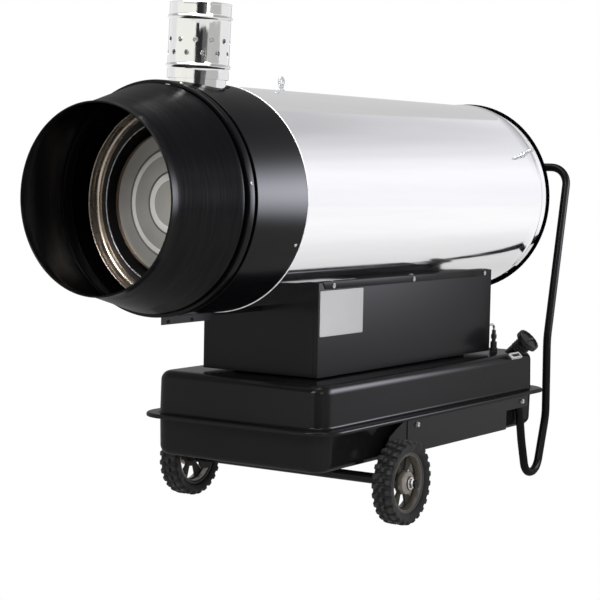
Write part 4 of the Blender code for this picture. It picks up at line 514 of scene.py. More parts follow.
def rounded(corners, radii, bend=pi / 24):
    path = [corners[0]]
    for k, radius in enumerate(radii):
        before, here, after = corners[k:k + 3]
        back, ahead = (before - here).normalized(), (after - here).normalized()
        half = back.angle(ahead) / 2
        centre = here + (back + ahead).normalized() * radius / sin(half)
        first = (here + back * radius / tan(half) - centre).normalized()
        last = (here + ahead * radius / tan(half) - centre).normalized()
        steps = max(2, round(first.angle(last) / bend))
        path += [centre + first.slerp(last, i / steps) * radius for i in range(steps + 1)]
    return path + [corners[-1]]


def tube(path, radius, sides):
    points = []
    side = (path[1] - path[0]).orthogonal().normalized()
    for k, p in enumerate(path):
        ahead = (path[min(k + 1, len(path) - 1)] - path[max(k - 1, 0)]).normalized()
        side = (side - ahead * side.dot(ahead)).normalized()
        over = ahead.cross(side)
        points += [p + (side * cos(2 * pi * i / sides) + over * sin(2 * pi * i / sides)) * radius
                   for i in range(sides)]
    return points, grid(len(path), sides, False, True)


def rod(radius, low, high, origin, across, along, steps):
    return spin([(0, low), (radius, low), (radius, high), (0, high)], origin, across, along, steps)


def joined(shapes):
    points, faces = [], []
    for more, sides in shapes:
        base = len(points)
        points += more
        faces += [tuple(base + i for i in face) for face in sides]
    return points, faces


def cleanMesh(name, points, faces):
    mesh = bpy.data.meshes.new(name)
    mesh.from_pydata([tuple(p) for p in points], [], faces)
    tool = bmesh.new()
    tool.from_mesh(mesh)
    bmesh.ops.remove_doubles(tool, verts=tool.verts, dist=mergeGap)
    bmesh.ops.recalc_face_normals(tool, faces=tool.faces)
    tool.to_mesh(mesh)
    tool.free()
    return mesh


def smoothShade(mesh, sharp):
    mesh.shade_smooth()
    mesh.set_sharp_from_angle(angle=radians(sharp))


def piece(name, shapes, finish, body="heater", cad=(), sharp=softEdge["sharp"]):
    mesh = cleanMesh(name, *joined(shapes))
    mesh.materials.append(finish)
    smoothShade(mesh, sharp)
    made = addObject(name, mesh)
    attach(made, body)
    if cad:
        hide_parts(*cad)
    return made


def bore(target, shape):
    cutter = addObject("bore", cleanMesh("bore", *shape))
    setAll(target.modifiers.new("bore", "BOOLEAN"), operation="DIFFERENCE", solver="EXACT", object=cutter)
    result = finalMesh(target)
    target.modifiers.clear()
    target.data = result
    smoothShade(result, softEdge["sharp"])
    bpy.data.objects.remove(cutter)


def reuse(names, finish, edge=0.0005):
    for name in names.split():
        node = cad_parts[name]
        node.data.materials.clear()
        node.data.materials.append(finish)
        if edge:
            setAll(node.modifiers.new("weld", "WELD"), merge_threshold=softEdge["weld"])
            setAll(node.modifiers.new("softEdge", "BEVEL"), width=edge, segments=softEdge["segments"],
                   limit_method="ANGLE", angle_limit=radians(softEdge["angle"]))


# Air casing: profiles are radius and station

casing = {
    "steps": 160, "ring": 0.25, "front": 0.4115, "rear": 1.5875, "lap": 6,
    "cover": 0.2475, "coverWall": 0.0012, "coverHalf": 136.6, "coverSteps": 180,
    "coverBead": (0.0028, 0.008, 1.545), "coverStations": (1.5, 1.3, 1.1, 0.9, 0.7, 0.5),
    "lower": 0.2448, "lowerWall": 0.0015, "lowerSteps": 60,
}
cone = {
    "wall": 0.0012, "narrow": (0.1922, 0.004), "wide": (0.25, 0.215), "stations": (0.16, 0.11, 0.06, 0.03),
    "rim": (0.0022, 16, (0.1966, 0.0022)),  # radius, steps, centre
}


def casingSpin(profile, steps=casing["steps"], **more):
    return spin(profile, at(0, 0, axisZ), zAxis, yAxis, steps, loop=True, **more)


def coneRadius(station):
    (inner, front), (outer, rear) = cone["narrow"], cone["wide"]
    return inner + (outer - inner) * (station - front) / (rear - front)


coneLine = [(0.24, 0.2135), (0.24, 0.187), (0.2412, 0.1858), (0.2416, 0.185), (0.2414, 0.18),
            (0.2398, 0.1745)]
coneLine += [(coneRadius(s), s) for s in cone["stations"]]
coneLine += [(0.1977, 0.0225), (0.1972, 0.019), (0.1972, 0.003)]
piece("outletCone", [casingSpin(thick(coneLine, cone["wall"])), casingSpin(circle(*cone["rim"]))], conePaint,
      cad=["outlet_cone"])
collarLine = [(0.2435, 0.1908), (0.2492, 0.1909), (0.25, 0.1918), (0.2504, 0.193), (0.2506, 0.2078),
              (0.2496, 0.209), (0.2435, 0.2092), (0.2425, 0.208)]
piece("seamCollar", [casingSpin(collarLine)], ringPaint, cad=["seam_collar"])
# painted shade: near-black bands lie on the groove floors to stand for the shade in the collar's grooves
grooves = {"outer": (0.2458, 0.244, 0.2085, 0.223), "inner": (0.242, 0.2405, 0.1855, 0.1915)}
piece("seamGroove", [casingSpin(band(*groove)) for groove in grooves.values()], darkGap)
ringLine = [(casing["ring"], s) for s in (0.4065, 0.4, 0.36, 0.3, 0.25, 0.221)]
ringLine += [(0.2492, 0.2202), (0.2464, 0.2201), (0.2464, 0.2216), (0.2485, 0.2216), (0.2485, 0.4065)]
ring = piece("blackRing", [casingSpin(ringLine)], ringPaint, cad=["front_ring"])
flue = {
    "lean": 2.2, "station": 0.33, "radius": 0.0655, "wall": 0.001, "steps": 120,
    "hole": (0.0705, 0.2, 0.3), "holeSteps": 64,
    "beads": (0.388, 0.285), "beadShape": (0.0038, 0.0055), "beadLead": 0.009,
    "vent": (0.0058, 0.055, 0.075), "ventSteps": 20, "ventsRound": 12,  # radius and reach of each cut
    "ventRows": ((0.3395, 29.3), (0.312, 13.9)),  # height and degrees of the first
    "weld": 0.0012, "weldReach": (0.0651, 0.0664), "weldSpread": 0.25, "weldBeat": 2.4, "weldSteps": 8,
    "welds": 22, "weldTurn": 77, "weldFoot": 0.262, "weldPitch": 0.0072,
    "liner": (0.0615, 0.06, 0.205, 0.296), "linerSteps": 72,
}
flueAlong = leaning(flue["lean"])
flueRoot = at(0, flue["station"], axisZ)
bore(ring, rod(*flue["hole"], flueRoot, -yAxis, flueAlong, flue["holeSteps"]))
keel = {  # size and place of each box
    "slot": ((0.012, 0.19, 0.004), (0, 0.32, 0.4921)),
    "front": ((0.003, 0.1785, 0.019), (0, 0.31775, 0.4827)),
    "rear": ((0.003, 0.1868, 0.015), (0, 0.5045, 0.4902)),
}


def keelBox(part):
    size, place = keel[part]
    return box(size, at(*place))


bore(ring, keelBox("slot"))
bandLine = [(0.2482, 0.397), (0.2482, 0.4066), *ringArc((0.2501, 0.4082), 0.0014, -pi / 2, pi / 2, 8),
            (0.2468, 0.4112), (0.2468, 0.397)]
piece("jointBand", [casingSpin(bandLine)], bandSteel, cad=["joint_band"])
coverR, coverHalf = casing["cover"], radians(casing["coverHalf"])
coverLine = [(coverR, casing["rear"]), (coverR, 1.556), *bead(coverR, *casing["coverBead"])]
coverLine += [(coverR, s) for s in (*casing["coverStations"], casing["front"])]
piece("steelCover", [casingSpin(thick(coverLine, casing["coverWall"]), casing["coverSteps"], start=-coverHalf,
                                sweep=2 * coverHalf)], mirrorSteel, cad=["upper_shell"])
flange = {"x": 0.1608, "wall": 0.0015, "edge": 0.0003,
          "outline": ((0.6112, 0.5595), (0.6252, 0.5395), (1.4165, 0.5395), (1.4305, 0.5595))}  # station and z


def sideFlange(side):
    return plate([[(s + lipY, z) for s, z in flange["outline"]]], flange["wall"], (side * flange["x"], 0, 0),
                 yAxis, zAxis, flange["edge"])


lowerHalf = pi - coverHalf + radians(casing["lap"])
lowLine = [(casing["lower"], casing["rear"]), (casing["lower"], casing["front"])]
piece("lowerCasing", [casingSpin(thick(lowLine, casing["lowerWall"]), casing["lowerSteps"], start=pi - lowerHalf,
                                 sweep=2 * lowerHalf)], mirrorSteel, cad=["lower_shell"])
piece("cabinetFlanges", [sideFlange(1), sideFlange(-1), keelBox("rear")], blackPaint)
piece("frontKeel", [keelBox("front")], blackPaint)
trimLine = [(0.2355, 1.59), (0.25, 1.59), (0.253, 1.5888), (0.2538, 1.5875), (0.2538, 1.5862),
            (0.2528, 1.585), (0.2476, 1.585), (0.2476, 1.587), (0.2355, 1.5885)]
piece("rearTrimRing", [casingSpin(trimLine)], darkGap, cad=["rear_trim_ring"])
screw = {
    "height": 0.7, "lift": 0.25, "steps": 16,
    "dome": ((0, 0.42), (0.3, 0.42), (0.36, 0.92), (0.62, 0.8), (0.88, 0.52), (1, 0.2), (1, 0)),
    "rows": (  # station, radius, head, degrees round the casing
        (0.389, 0.25, 0.0042, (111.8, -111.8)), (0.2, 0.2505, 0.004, (81.3, 15, -81.3)),
        (1.569, 0.2475, 0.0036, (51, 0, -51)), (1.569, 0.2448, 0.0036, (144.6, -144.6))),
    "flange": (0.16155, 0.547, (0.659, 1.027, 1.401), 0.0042, 0.006),  # x, z, stations, head, washer
    "keel": (0.0015, 0.479, (0.25, 0.335), 0.0042),
}
hole = {"rod": (0.0024, 0, 0.0005), "steps": 16, "base": 0.2474, "places": ((50.9, 1.374), (70.4, 1.49))}


def screwHead(place, normal, radius, washer=0):
    lift = radius * screw["lift"] if washer else 0
    profile = [(radius * r, lift + radius * screw["height"] * h) for r, h in screw["dome"]]
    if washer:
        profile += [(washer, lift), (washer, 0)]
    return spin([*profile, (0, 0)], place, normal.orthogonal().normalized(), normal, screw["steps"])


def sideScrews(x, z, stations, *sizes):
    return [screwHead(at(side * x, station, z), xAxis * side, *sizes)
            for station in stations for side in (-1, 1)]


def onCasing(turn, station, radius):
    out = leaning(turn)
    return at(0, station, axisZ) + out * radius, out


screws = [screwHead(*onCasing(turn, station, radius), head)
          for station, radius, head, turns in screw["rows"] for turn in turns]
piece("casingScrews", screws + sideScrews(*screw["flange"]), zinc)
piece("keelScrews", sideScrews(*screw["keel"]), framePaint)
# painted shade: the holes in the cover are flat near-black discs, not openings
holes = []
for turn, station in hole["places"]:
    place, out = onCasing(turn, station, hole["base"])
    holes.append(rod(*hole["rod"], place, yAxis, out, hole["steps"]))
piece("coverHoles", holes, darkGap)
print("casing built")


# Heat exchanger, chamber and flue

drum = {
    "steps": 144, "radius": 0.2175, "stations": (1.1866, 0.9, 0.6, 0.3, 0.244), "rear": (0.1815, 1.1866),
    "shoulder": (0.2008, 0.2605), "shoulderReach": (0.013, 0.007),
    "legSize": (0.04, 0.006, 0.012), "legX": 0.085, "legZ": 0.53, "legStations": (0.54, 1.08),
}


def drumPiece(name, finish, *profiles, **more):
    shapes = [spin(profile, at(0, 0, drumZ), zAxis, yAxis, drum["steps"]) for profile in profiles]
    piece(name, shapes, finish, **more)


(shoulderR, shoulderS), (reachR, reachS) = drum["shoulder"], drum["shoulderReach"]
drumLine = [(drum["radius"], s) for s in drum["stations"]]
drumLine += ringArc((0.2155, 0.242), 0.002, 0, -pi, 6)
drumLine += [(0.2137, 0.2562), (0.2146, 0.2572), (0.2146, 0.259), (0.2138, 0.2602)]
drumLine += [(shoulderR + reachR * cos(k * pi / 16), shoulderS + reachS * sin(k * pi / 16)) for k in range(9)]
drumPiece("exchangerShell", drumSteel, drumLine, [drum["rear"], drumLine[0]], cad=["heat_exchanger"])
drumPiece("exchangerPlate", plateSteel, [(0.2008, 0.2675), (0.192, 0.2675), (0.1824, 0.2675)])
# painted highlight: the plate's rolled inner lip is drawn in the bright band steel, much lighter than the plate
# it belongs to
lipLine = [(0.1824, 0.2675), *ringArc((0.1805, 0.258), 0.0007, 0, -pi, 6), (0.1798, 0.26)]
drumPiece("exchangerLip", bandSteel, lipLine)
drumPiece("exchangerInner", plateSteel, [(0.18, 0.26), (0.18, 0.6), (0.18, 1.1866)])
legs = [box(drum["legSize"], at(side * drum["legX"], station, drum["legZ"]))
        for station in drum["legStations"] for side in (-1, 1)]
piece("exchangerLegs", legs, drumSteel)
drumPiece("chamberDisc", chamberSteel, [(0.1568, 0.272), (0.148, 0.272), (0.124, 0.272)],
          [(0.1072, 0.2686), (0.0715, 0.2686)], [(0.0515, 0.2648), (0.035, 0.2648), (0, 0.2646)],
          cad=["combustion_chamber"], sharp=50)
# painted shade: the groove floors are drawn in a darker copy of the chamber steel
drumPiece("chamberGrooves", grooveShadeAndWeldBurn,
          [(0.124, 0.272), (0.1225, 0.2742), (0.1205, 0.2742), (0.1192, 0.2716)],
          [(0.0715, 0.2686), (0.07, 0.2708), (0.068, 0.2708), (0.0668, 0.2682)])
# painted highlight on the ridge slopes
drumPiece("chamberRidges", ridgeHighlight, [(0.1192, 0.2716), (0.113, 0.2696), (0.1072, 0.2686)],
          [(0.0668, 0.2682), (0.059, 0.2658), (0.0515, 0.2648)])
wallLine = [(0.1562, 0.275), (0.1562, 0.264), (0.1571, 0.2628), (0.158, 0.264), (0.158, 0.5), (0.158, 0.8),
            (0.158, 1.1), (0.055, 1.1)]
drumPiece("chamberWall", chamberBrown, wallLine)


def flueSpin(profile, steps):
    return spin(profile, flueRoot, -yAxis, flueAlong, steps, loop=True)


def flueOut(turn):
    out = Vector((sin(radians(turn)), -cos(radians(turn)), 0))
    return (out - flueAlong * out.dot(flueAlong)).normalized()


flueLine = [(0.0648, 0.4188), (0.0655, 0.4189), (0.0662, 0.4184), (0.0662, 0.416), (0.0655, 0.415)]
for height in flue["beads"]:
    flueLine += [(flue["radius"], height + flue["beadLead"]), *bead(flue["radius"], *flue["beadShape"], height)]
flueLine += [(flue["radius"], 0.27), (flue["radius"], 0.258)]
stack = piece("fluePipe", [flueSpin(thick(flueLine, flue["wall"]), flue["steps"])], flueSteel, cad=["flue_pipe"])
vents = []
for height, offset in flue["ventRows"]:
    for k in range(flue["ventsRound"]):
        out = flueOut(offset + 360 / flue["ventsRound"] * k)
        vents.append(rod(*flue["vent"], flueRoot + flueAlong * height, flueAlong, out, flue["ventSteps"]))
bore(stack, joined(vents))
welds = []
for k in range(flue["welds"]):
    place = flueRoot + flueAlong * (flue["weldFoot"] + flue["weldPitch"] * k)
    radius = flue["weld"] * (1 + flue["weldSpread"] * cos(k * flue["weldBeat"]))  # unlike sizes
    welds.append(rod(radius, *flue["weldReach"], place, flueAlong, flueOut(flue["weldTurn"]),
                     flue["weldSteps"]))
piece("flueWelds", welds, grooveShadeAndWeldBurn)
piece("flueLiner", [flueSpin(band(*flue["liner"]), flue["linerSteps"])], flueSteel)
print("heat exchanger built")


# Cabinet

label = {"ends": (0.6045, 0.7905), "sides": (0.432, 0.5365), "corner": (0.003, 4), "x": 0.1602, "wall": 0.0006,
         "edge": 0.0001}
reuse("cabinet_front cabinet_rear cabinet_side_right cabinet_side_left cabinet_floor", blackPaint,
      0.0004)
reuse("cabinet_packer_front cabinet_packer_rear", neckRubber)
reuse("control_plate", motorGrey, 0.0004)
labelLoop = [(s + lipY, z) for s, z in roundedRect(label["ends"], label["sides"], *label["corner"])]
piece("sidePlate", [plate([labelLoop], label["wall"], (label["x"], 0, 0), yAxis, zAxis, label["edge"])],
      platePrint)
reuse("fuel_pump burner_body", castAlloy, 0.001)
reuse("ignition_transformer suction_fitting cable_gland selector_knob", darkPlastic)
reuse("burner_control_unit", motorGrey)
reuse("reset_button pilot_lamp", lampRed)
reuse("blast_tube", zinc)
print("cabinet built")


# Fuel tank: sections are growth beyond the upright wall, and z

tank = {
    "half": 0.2365, "front": 0.5043, "rear": 1.5746, "corner": 0.045, "cornerSteps": 12, "edge": 0.0225,
    "draft": 0.0015, "foot": 0.009, "fillet": 0.006, "sharp": 40,
    "upper": (0.2363, 1, tankTop), "lower": (0.233, -1, 0.1365),  # foot, way and flat face
}


def tankRing(grow, z):
    w, r = tank["half"] + grow, tank["corner"] + grow
    ends = tank["front"] - grow, tank["rear"] + grow
    return [at(x, s, z) for x, s in roundedRect((-w, w), ends, r, tank["cornerSteps"], -1)]


def pressedHalf(name, edgeZ, turn, wallEnd, lip):
    foot, fillet, draft, edge = (tank[k] for k in ("foot", "fillet", "draft", "edge"))
    sections = [*lip, (foot, edgeZ)]
    for a in (k * pi / 8 for k in range(1, 5)):
        sections.append((fillet * (1 - sin(a)), edgeZ + turn * fillet * (1 - cos(a))))
    for a in (k * pi / 16 for k in range(9)):
        sections.append((-draft - edge * (1 - cos(a)), wallEnd - turn * edge * (1 - sin(a))))
    points = [p for grow, z in sections for p in tankRing(grow, z)]
    shape = points, grid(len(sections), len(points) // len(sections), False, True)
    piece("tank" + name, [shape], tankPaint, cad=["tank_" + name.lower()], sharp=tank["sharp"])


upperLip = [(0.029, 0.234), (0.0305, 0.2275), (0.0314, 0.2273), (0.0324, 0.2282), (0.0324, 0.231),
            (0.032, 0.2335), (0.0306, 0.2352), (0.028, 0.2362), (0.026, 0.2363)]
lowerLip = [(0.0249, 0.2344), (0.0249, 0.2331)]
pressedHalf("Upper", *tank["upper"], upperLip)
pressedHalf("Lower", *tank["lower"], lowerLip)
neck = {"lean": 47, "x": 0.205, "station": 1.51, "steps": 48, "ribs": 4, "ribTop": 0.036, "ribPitch": 0.0082}
neckAlong = leaning(neck["lean"])
neckRoot = at(neck["x"], neck["station"], tankTop)
neckLine = [(0.019, 0.046), (0.0205, 0.047), (0.021, 0.046), (0.021, 0.038)]
for k in range(neck["ribs"]):
    h = neck["ribTop"] - neck["ribPitch"] * k
    neckLine += [(0.0212, h), (0.0222, h - 0.0015), (0.0222, h - 0.0035), (0.0212, h - 0.005)]
neckLine += [(0.021, 0.002), (0.021, -0.022), (0.019, -0.022)]
piece("fillerNeck", [spin(neckLine, neckRoot, yAxis, neckAlong, neck["steps"], loop=True)], neckRubber,
      cad=["filler_neck"])
cap = {
    "base": 0.0393, "radius": 0.0323, "notch": 0.0011, "notches": 16, "points": 96, "bore": (0.0215, 48),
    "moon": 0.0265, "moonGap": 0.16, "moonSteps": 24,
    "low": (0.0082, 0.0041, 0.0005), "middle": (0.003, 0.0097, 0.0003), "top": (0.0032, 0.0124, 0.0007),
}  # the layers have thickness, height of the middle and edge
capRim = []
for k in range(cap["points"]):
    turn = 2 * pi * k / cap["points"]
    r = cap["radius"] - cap["notch"] * (0.5 + 0.5 * cos(cap["notches"] * turn)) ** 3
    capRim.append((r * cos(turn), r * sin(turn)))
moons = [ringArc((0, 0), cap["moon"], side + cap["moonGap"], side + pi - cap["moonGap"], cap["moonSteps"])
         for side in (0, pi)]


def capLayer(layer, *loops):
    thickness, height, edge = cap[layer]
    return plate([capRim, *loops], thickness, neckRoot + neckAlong * (cap["base"] + height), yAxis,
                 neckAlong.cross(yAxis), edge)


piece("fuelCap", [capLayer("low", circle(*cap["bore"])), capLayer("middle"), capLayer("top", *moons)],
      darkPlastic, "cap", ["fuel_cap"])
reuse("fuel_gauge", gaugeZinc, 0.0002)
reuse("drain_plug", zinc, 0.0008)
gauge = {"x": 0.2284, "station": 1.459, "drop": 0.0066, "lean": 45, "lift": 0.003, "half": (0.0228, 0.0043),
         "wall": 0.0006, "edge": 0.0001}
gaugeOut = leaning(gauge["lean"])
gaugePlace = at(gauge["x"], gauge["station"], tankTop - gauge["drop"]) + gaugeOut * gauge["lift"]
long, wide = gauge["half"]
window = [(-long, -wide), (long, -wide), (long, wide), (-long, wide)]
piece("gaugeWindow", [plate([window], gauge["wall"], gaugePlace, yAxis, gaugeOut.cross(yAxis), gauge["edge"])],
      darkPlastic)
pipe = {"corners": ((0.153, 1.481, 0.391), (0.153, 1.481, 0.4064), (0.1537, 1.4434, 0.4064)), "bend": 0.012,
        "radius": 0.0035, "sides": 16}
pipePath = rounded([at(*corner) for corner in pipe["corners"]], [pipe["bend"]])
piece("suctionPipe", [tube(pipePath, pipe["radius"], pipe["sides"])], zinc, cad=["suction_pipe"])
print("tank built")


# Rails, axle and wheels

bolt = {"x": 0.2611, "z": 0.2125, "stations": (0.883, 1.44), "turn": 0.3, "width": 0.0105, "height": 0.0045,
        "washer": 0.0065, "washerWall": 0.0015, "washerSteps": 28, "socket": 0.002,
        "dimple": (0.26, 0.28), "crown": (0.46, 0.15)}  # shares of width and height


def boltHead(place, normal, turn):
    across = Matrix.Rotation(turn, 3, normal) @ normal.orthogonal().normalized()
    width, washer, lift, deep = (bolt[k] for k in ("width", "washer", "washerWall", "socket"))
    (inner, outer), (flat, drop) = bolt["dimple"], bolt["crown"]
    tall, r = lift + bolt["height"], width / 2 / cos(pi / 6)
    head = [(0, tall - deep), (width * inner, tall - deep), (width * outer, tall), (width * flat, tall),
            (r, tall - bolt["height"] * drop), (r, 0), (0, 0)]
    disc = [(0, lift), (washer * 0.94, lift), (washer, lift * 0.5), (washer, 0), (0, 0)]
    return joined([spin(head, place, across, normal, 6), spin(disc, place, across, normal, bolt["washerSteps"])])


reuse("side_rail_right side_rail_left axle_bracket_right axle_bracket_left motor_spider",
      framePaint)
reuse("axle", framePaint, 0)
bolts = [boltHead(at(side * bolt["x"], station, bolt["z"]), xAxis * side, bolt["turn"] * side)
         for side in (-1, 1) for station in bolt["stations"]]
piece("railBolts", bolts, zinc,
      cad=["rail_bolt_right", "rail_bolt_left", "handle_bolt_right", "handle_bolt_left"])
wheel = {
    "radius": 0.0982, "station": 0.7455, "x": 0.302, "litTreadReach": (0.0935, 0.0985),
    "litTreadColor": (0.02, 0.0192, 0.018), "sharp": 40,
    "lugs": 26, "lugDepth": 0.0052, "lugSteps": 12, "lugRise": (0, 0.1), "lugFall": (0.52, 0.62),
    "lugBulge": 0.0007, "middleRow": 0.0065, "rowShift": (0.25, 0.75),
    "innerGroove": (0.004, 0.0056), "outerGroove": (0.0086, 0.01), "shoulder": (0.0845, 0.0895),
}
rim = {
    "steps": 72, "bossSteps": 60, "hubSteps": 48, "web": (0.064, 72), "webBore": (0.016, 36), "webWall": 0.006,
    "webEdge": 0.0012, "windows": 6, "windowOuter": (0.0588, radians(17), 8),  # radius, half angle, steps
    "windowInner": (0.0285, radians(16), 4),
}
nut = {"place": 0.0238, "turn": 0.4, "steps": 36, "end": (0.0064, 0.001, 0.0085), "endSteps": 20}
# painted highlight on the tread tops, painted shade in the grooves
paintLightOutward(tyreRubber, (lipY + wheel["station"], wheel["radius"]), wheel["litTreadReach"], wheel["litTreadColor"])


def hubAt(side, out=0):
    return at(side * (wheel["x"] + out), wheel["station"], wheel["radius"])


def smooth(value, low, high):
    t = min(1, max(0, (value - low) / (high - low)))
    return t * t * (3 - 2 * t)


def tyreShape(side):
    section = [(-0.012, 0.0665), (-0.0165, 0.068), (-0.019, 0.0705), (-0.0205, 0.0735), (-0.0212, 0.0745),
               (-0.0222, 0.079), (-0.0232, 0.083), (-0.0238, 0.0855), (-0.024, 0.087), (-0.0236, 0.089),
               (-0.0226, 0.0907), (-0.0205, 0.092), (-0.0175, 0.0926), (-0.015, 0.0928), (-0.0125, 0.093),
               (-0.008, 0.093), (-0.0055, 0.093), (-0.0025, 0.093)]
    section += [(-x, r) for x, r in reversed(section)]
    steps = wheel["lugs"] * wheel["lugSteps"]
    points = []
    origin = hubAt(side)
    for k in range(steps):
        turn = 2 * pi * k / steps
        out = zAxis * cos(turn) + yAxis * sin(turn)
        for x, r in section:
            shift = 0 if abs(x) < wheel["middleRow"] else wheel["rowShift"][x < 0]
            phase = (turn * wheel["lugs"] / (2 * pi) + shift) % 1
            block = smooth(phase, *wheel["lugRise"]) * (1 - smooth(phase, *wheel["lugFall"]))
            rows = max(1 - smooth(abs(x), *wheel["innerGroove"]), smooth(abs(x), *wheel["outerGroove"]))
            zone = rows * smooth(r, *wheel["shoulder"])
            bulge = (wheel["lugBulge"] if x > 0 else -wheel["lugBulge"]) * block * zone
            points.append(origin + xAxis * side * (x + bulge) + out * (r + wheel["lugDepth"] * block * zone))
    return points, grid(steps, len(section), True, False)


def rimShapes(side):
    origin = hubAt(side)
    axis = xAxis * side

    def turned(profile, steps=rim["steps"]):
        return spin(profile, origin, zAxis, axis, steps, loop=True)

    lip = [(0.064, 0.0165), (0.069, 0.0188), (0.0712, 0.0188), (0.0712, 0.0172), (0.0668, 0.0125),
           (0.065, 0), (0.0668, -0.0125), (0.0712, -0.0172), (0.0712, -0.019), (0.069, -0.019),
           (0.064, -0.0165), (0.0632, -0.004), (0.0632, 0.004)]
    dish = [(0.0645, 0.0168), (0.0625, 0.014), (0.0612, 0.006), (0.06, 0.001), (0.059, 0.001),
            (0.0602, 0.0062), (0.0615, 0.0142), (0.0634, 0.0168)]
    boss = [(0.011, 0.0222), (0.0168, 0.0222), (0.0178, 0.0212), (0.019, 0.0212), (0.02, 0.02),
            (0.0222, 0.0186), (0.024, 0.0184), (0.0262, 0.0166), (0.027, 0.014), (0.0262, 0.006),
            (0.025, 0.002), (0.011, 0.002)]
    barrel = [(0.0632, -0.0168), (0.0632, -0.002), (0.0622, -0.002), (0.0618, -0.01), (0.0624, -0.0168)]
    hub = [(0.0104, -0.0235), (0.015, -0.0235), (0.0165, -0.0222), (0.0168, 0), (0.0165, 0.0222),
           (0.015, 0.0235), (0.0104, 0.0235)]
    loops = [circle(*rim["web"]), circle(*rim["webBore"])]
    for k in range(rim["windows"]):
        loops.append(opening(2 * pi / rim["windows"] * k, *rim["windowOuter"], *rim["windowInner"]))
    web = plate(loops, rim["webWall"], origin, zAxis, axis.cross(zAxis), rim["webEdge"])
    return (("rim", [turned(lip)], rimPlastic), ("rimDish", [turned(dish)], rimDish),
            ("rimBoss", [turned(boss, rim["bossSteps"])], rimBoss), ("rimBarrel", [turned(barrel)], barrelPaintedLight),
            ("rimWebPaintedShade", [web, turned(hub, rim["hubSteps"])], rimWebPaintedShade))


for hand, side in (("right", 1), ("left", -1)):
    body, axis = "wheel_" + hand, xAxis * side
    piece("tyre_" + hand + "_rubber", [tyreShape(side)], tyreRubber, body, ["tyre_" + hand], wheel["sharp"])
    for name, shapes, finish in rimShapes(side):
        piece(name + "_" + hand, shapes, finish, body, ["wheel_rim_" + hand] if name == "rim" else ())
    hubFace = hubAt(side, nut["place"])
    across = Matrix.Rotation(nut["turn"], 3, xAxis) @ zAxis
    washerLine = [(0.01, 0), (0.014, 0), (0.0146, 0.0006), (0.0146, 0.0013), (0.014, 0.0019), (0.01, 0.0019)]
    nutLine = [(0.0062, 0.01), (0.0074, 0.0113), (0.0108, 0.0111), (0.0126, 0.0085), (0.0126, 0.0019),
               (0.0062, 0.0019)]
    piece("axle_nut_" + hand + "_zinc", [spin(washerLine, hubFace, zAxis, axis, nut["steps"], loop=True),
                                         spin(nutLine, hubFace, across, axis, 6, loop=True)], zinc,
          cad=["axle_nut_" + hand])
    # painted shade: a near-black disc stands for the shaded bore of the nut at the axle end
    piece("axleEnd_" + hand, [rod(*nut["end"], hubFace, zAxis, axis, nut["endSteps"])], darkGap)
print("wheels built")


# Handle

handle = {
    "x": 0.248, "radius": 0.0108, "sides": 24, "sharp": 60, "barBend": 0.05,
    "corners": ((1.4353, 0.2224), (1.4544, 0.1822), (1.471, 0.1052), (1.5004, 0.011), (1.5684, 0.011),
                (1.6157, 0.1573), (1.6108, 0.3643), (1.712, 0.828)),  # station and z, from the bolted foot up
    "bends": (0.045, 0.125, 0.0425, 0.045, 0.12, 0.15),
}
right = [at(handle["x"], s, z) for s, z in handle["corners"]]
left = [Vector((-p.x, p.y, p.z)) for p in reversed(right)]
bends = [*handle["bends"], handle["barBend"], handle["barBend"], *reversed(handle["bends"])]
piece("handleTube", [tube(rounded([*right, *left], bends), handle["radius"], handle["sides"])], handlePaint,
      cad=["handle_tube"], sharp=handle["sharp"])
print("handle built")


# Lifting eyes, guard, fan and motor

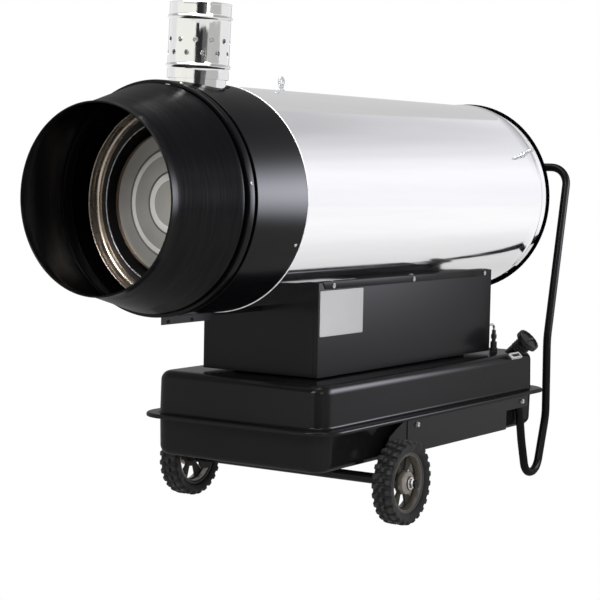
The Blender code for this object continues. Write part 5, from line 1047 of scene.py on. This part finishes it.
eye = {
    "lift": 0.022, "ring": 0.009, "ringSteps": 40, "wire": 0.0034, "wireSides": 14, "neckSteps": 28,
    "places": {"front": (0, 0.668), "rear_right": (62, 1.489), "rear_left": (-62, 1.489)},
}
guard = {
    "wall": 0.0015, "edge": 0.0003, "disc": (0.2348, 144), "station": 1.58925, "outer": 0.2312, "hub": 0.046,
    "rings": 4, "sectors": 6, "ribHalf": 0.002, "farSteps": 6, "nearSteps": 5, "ringSteps": 4,
}


def liftingEye(base, out):
    centre = base + out * eye["lift"]
    turns = [2 * pi * k / eye["ringSteps"] for k in range(eye["ringSteps"] + 1)]
    ringPath = [centre + (out * cos(turn) + yAxis * sin(turn)) * eye["ring"] for turn in turns]
    neckLine = [(0, 0.0145), (0.0034, 0.0145), (0.0042, 0.0125), (0.0062, 0.0115), (0.0062, 0.0082),
                (0.0045, 0.0075), (0.0045, 0.0042), (0.0072, 0.004), (0.0084, 0.003), (0.0084, 0.0004),
                (0, 0.0004)]
    return joined([tube(ringPath, eye["wire"], eye["wireSides"]),
                   spin(neckLine, base, yAxis, out, eye["neckSteps"])])


for name, (turn, station) in eye["places"].items():
    piece("eye_" + name, [liftingEye(*onCasing(turn, station, casing["cover"]))], dullZinc,
          cad=["lifting_eye_" + name])
guardLoops = [circle(*guard["disc"])]
pitch = (guard["outer"] - guard["hub"]) / guard["rings"]
sector, ribHalf = pi / guard["sectors"], guard["ribHalf"]
for k in range(guard["rings"]):
    low = guard["hub"] + k * pitch + ribHalf
    high = low + pitch - 2 * ribHalf
    far, near = sector - asin(ribHalf / high), sector - asin(ribHalf / low)
    farSteps, nearSteps = (guard[key] + guard["ringSteps"] * k for key in ("farSteps", "nearSteps"))
    for i in range(guard["sectors"]):
        guardLoops.append(opening(2 * sector * i, high, far, farSteps, low, near, nearSteps))
guardPlace = at(0, guard["station"], axisZ)
piece("fanGuard", [plate(guardLoops, guard["wall"], guardPlace, xAxis, zAxis, guard["edge"])], zinc,
      cad=["rear_guard"])
reuse("fan_impeller", darkPlastic, 0)
reuse("fan_motor", motorGrey, 0.001)
print("fittings built")

shielded = ("steelCover", "lowerCasing", "jointBand", "eye", "casingScrews", "railBolts", "tyre", "rim", "axle",
            "sidePlate", "fuel", "fillerNeck", "suctionPipe", "fluePipe", "flueLiner")
keepFromGlow(glowBoard, [o.name for o in scene.objects if o.type == "MESH" and o.name.startswith(shielded)])

low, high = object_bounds()
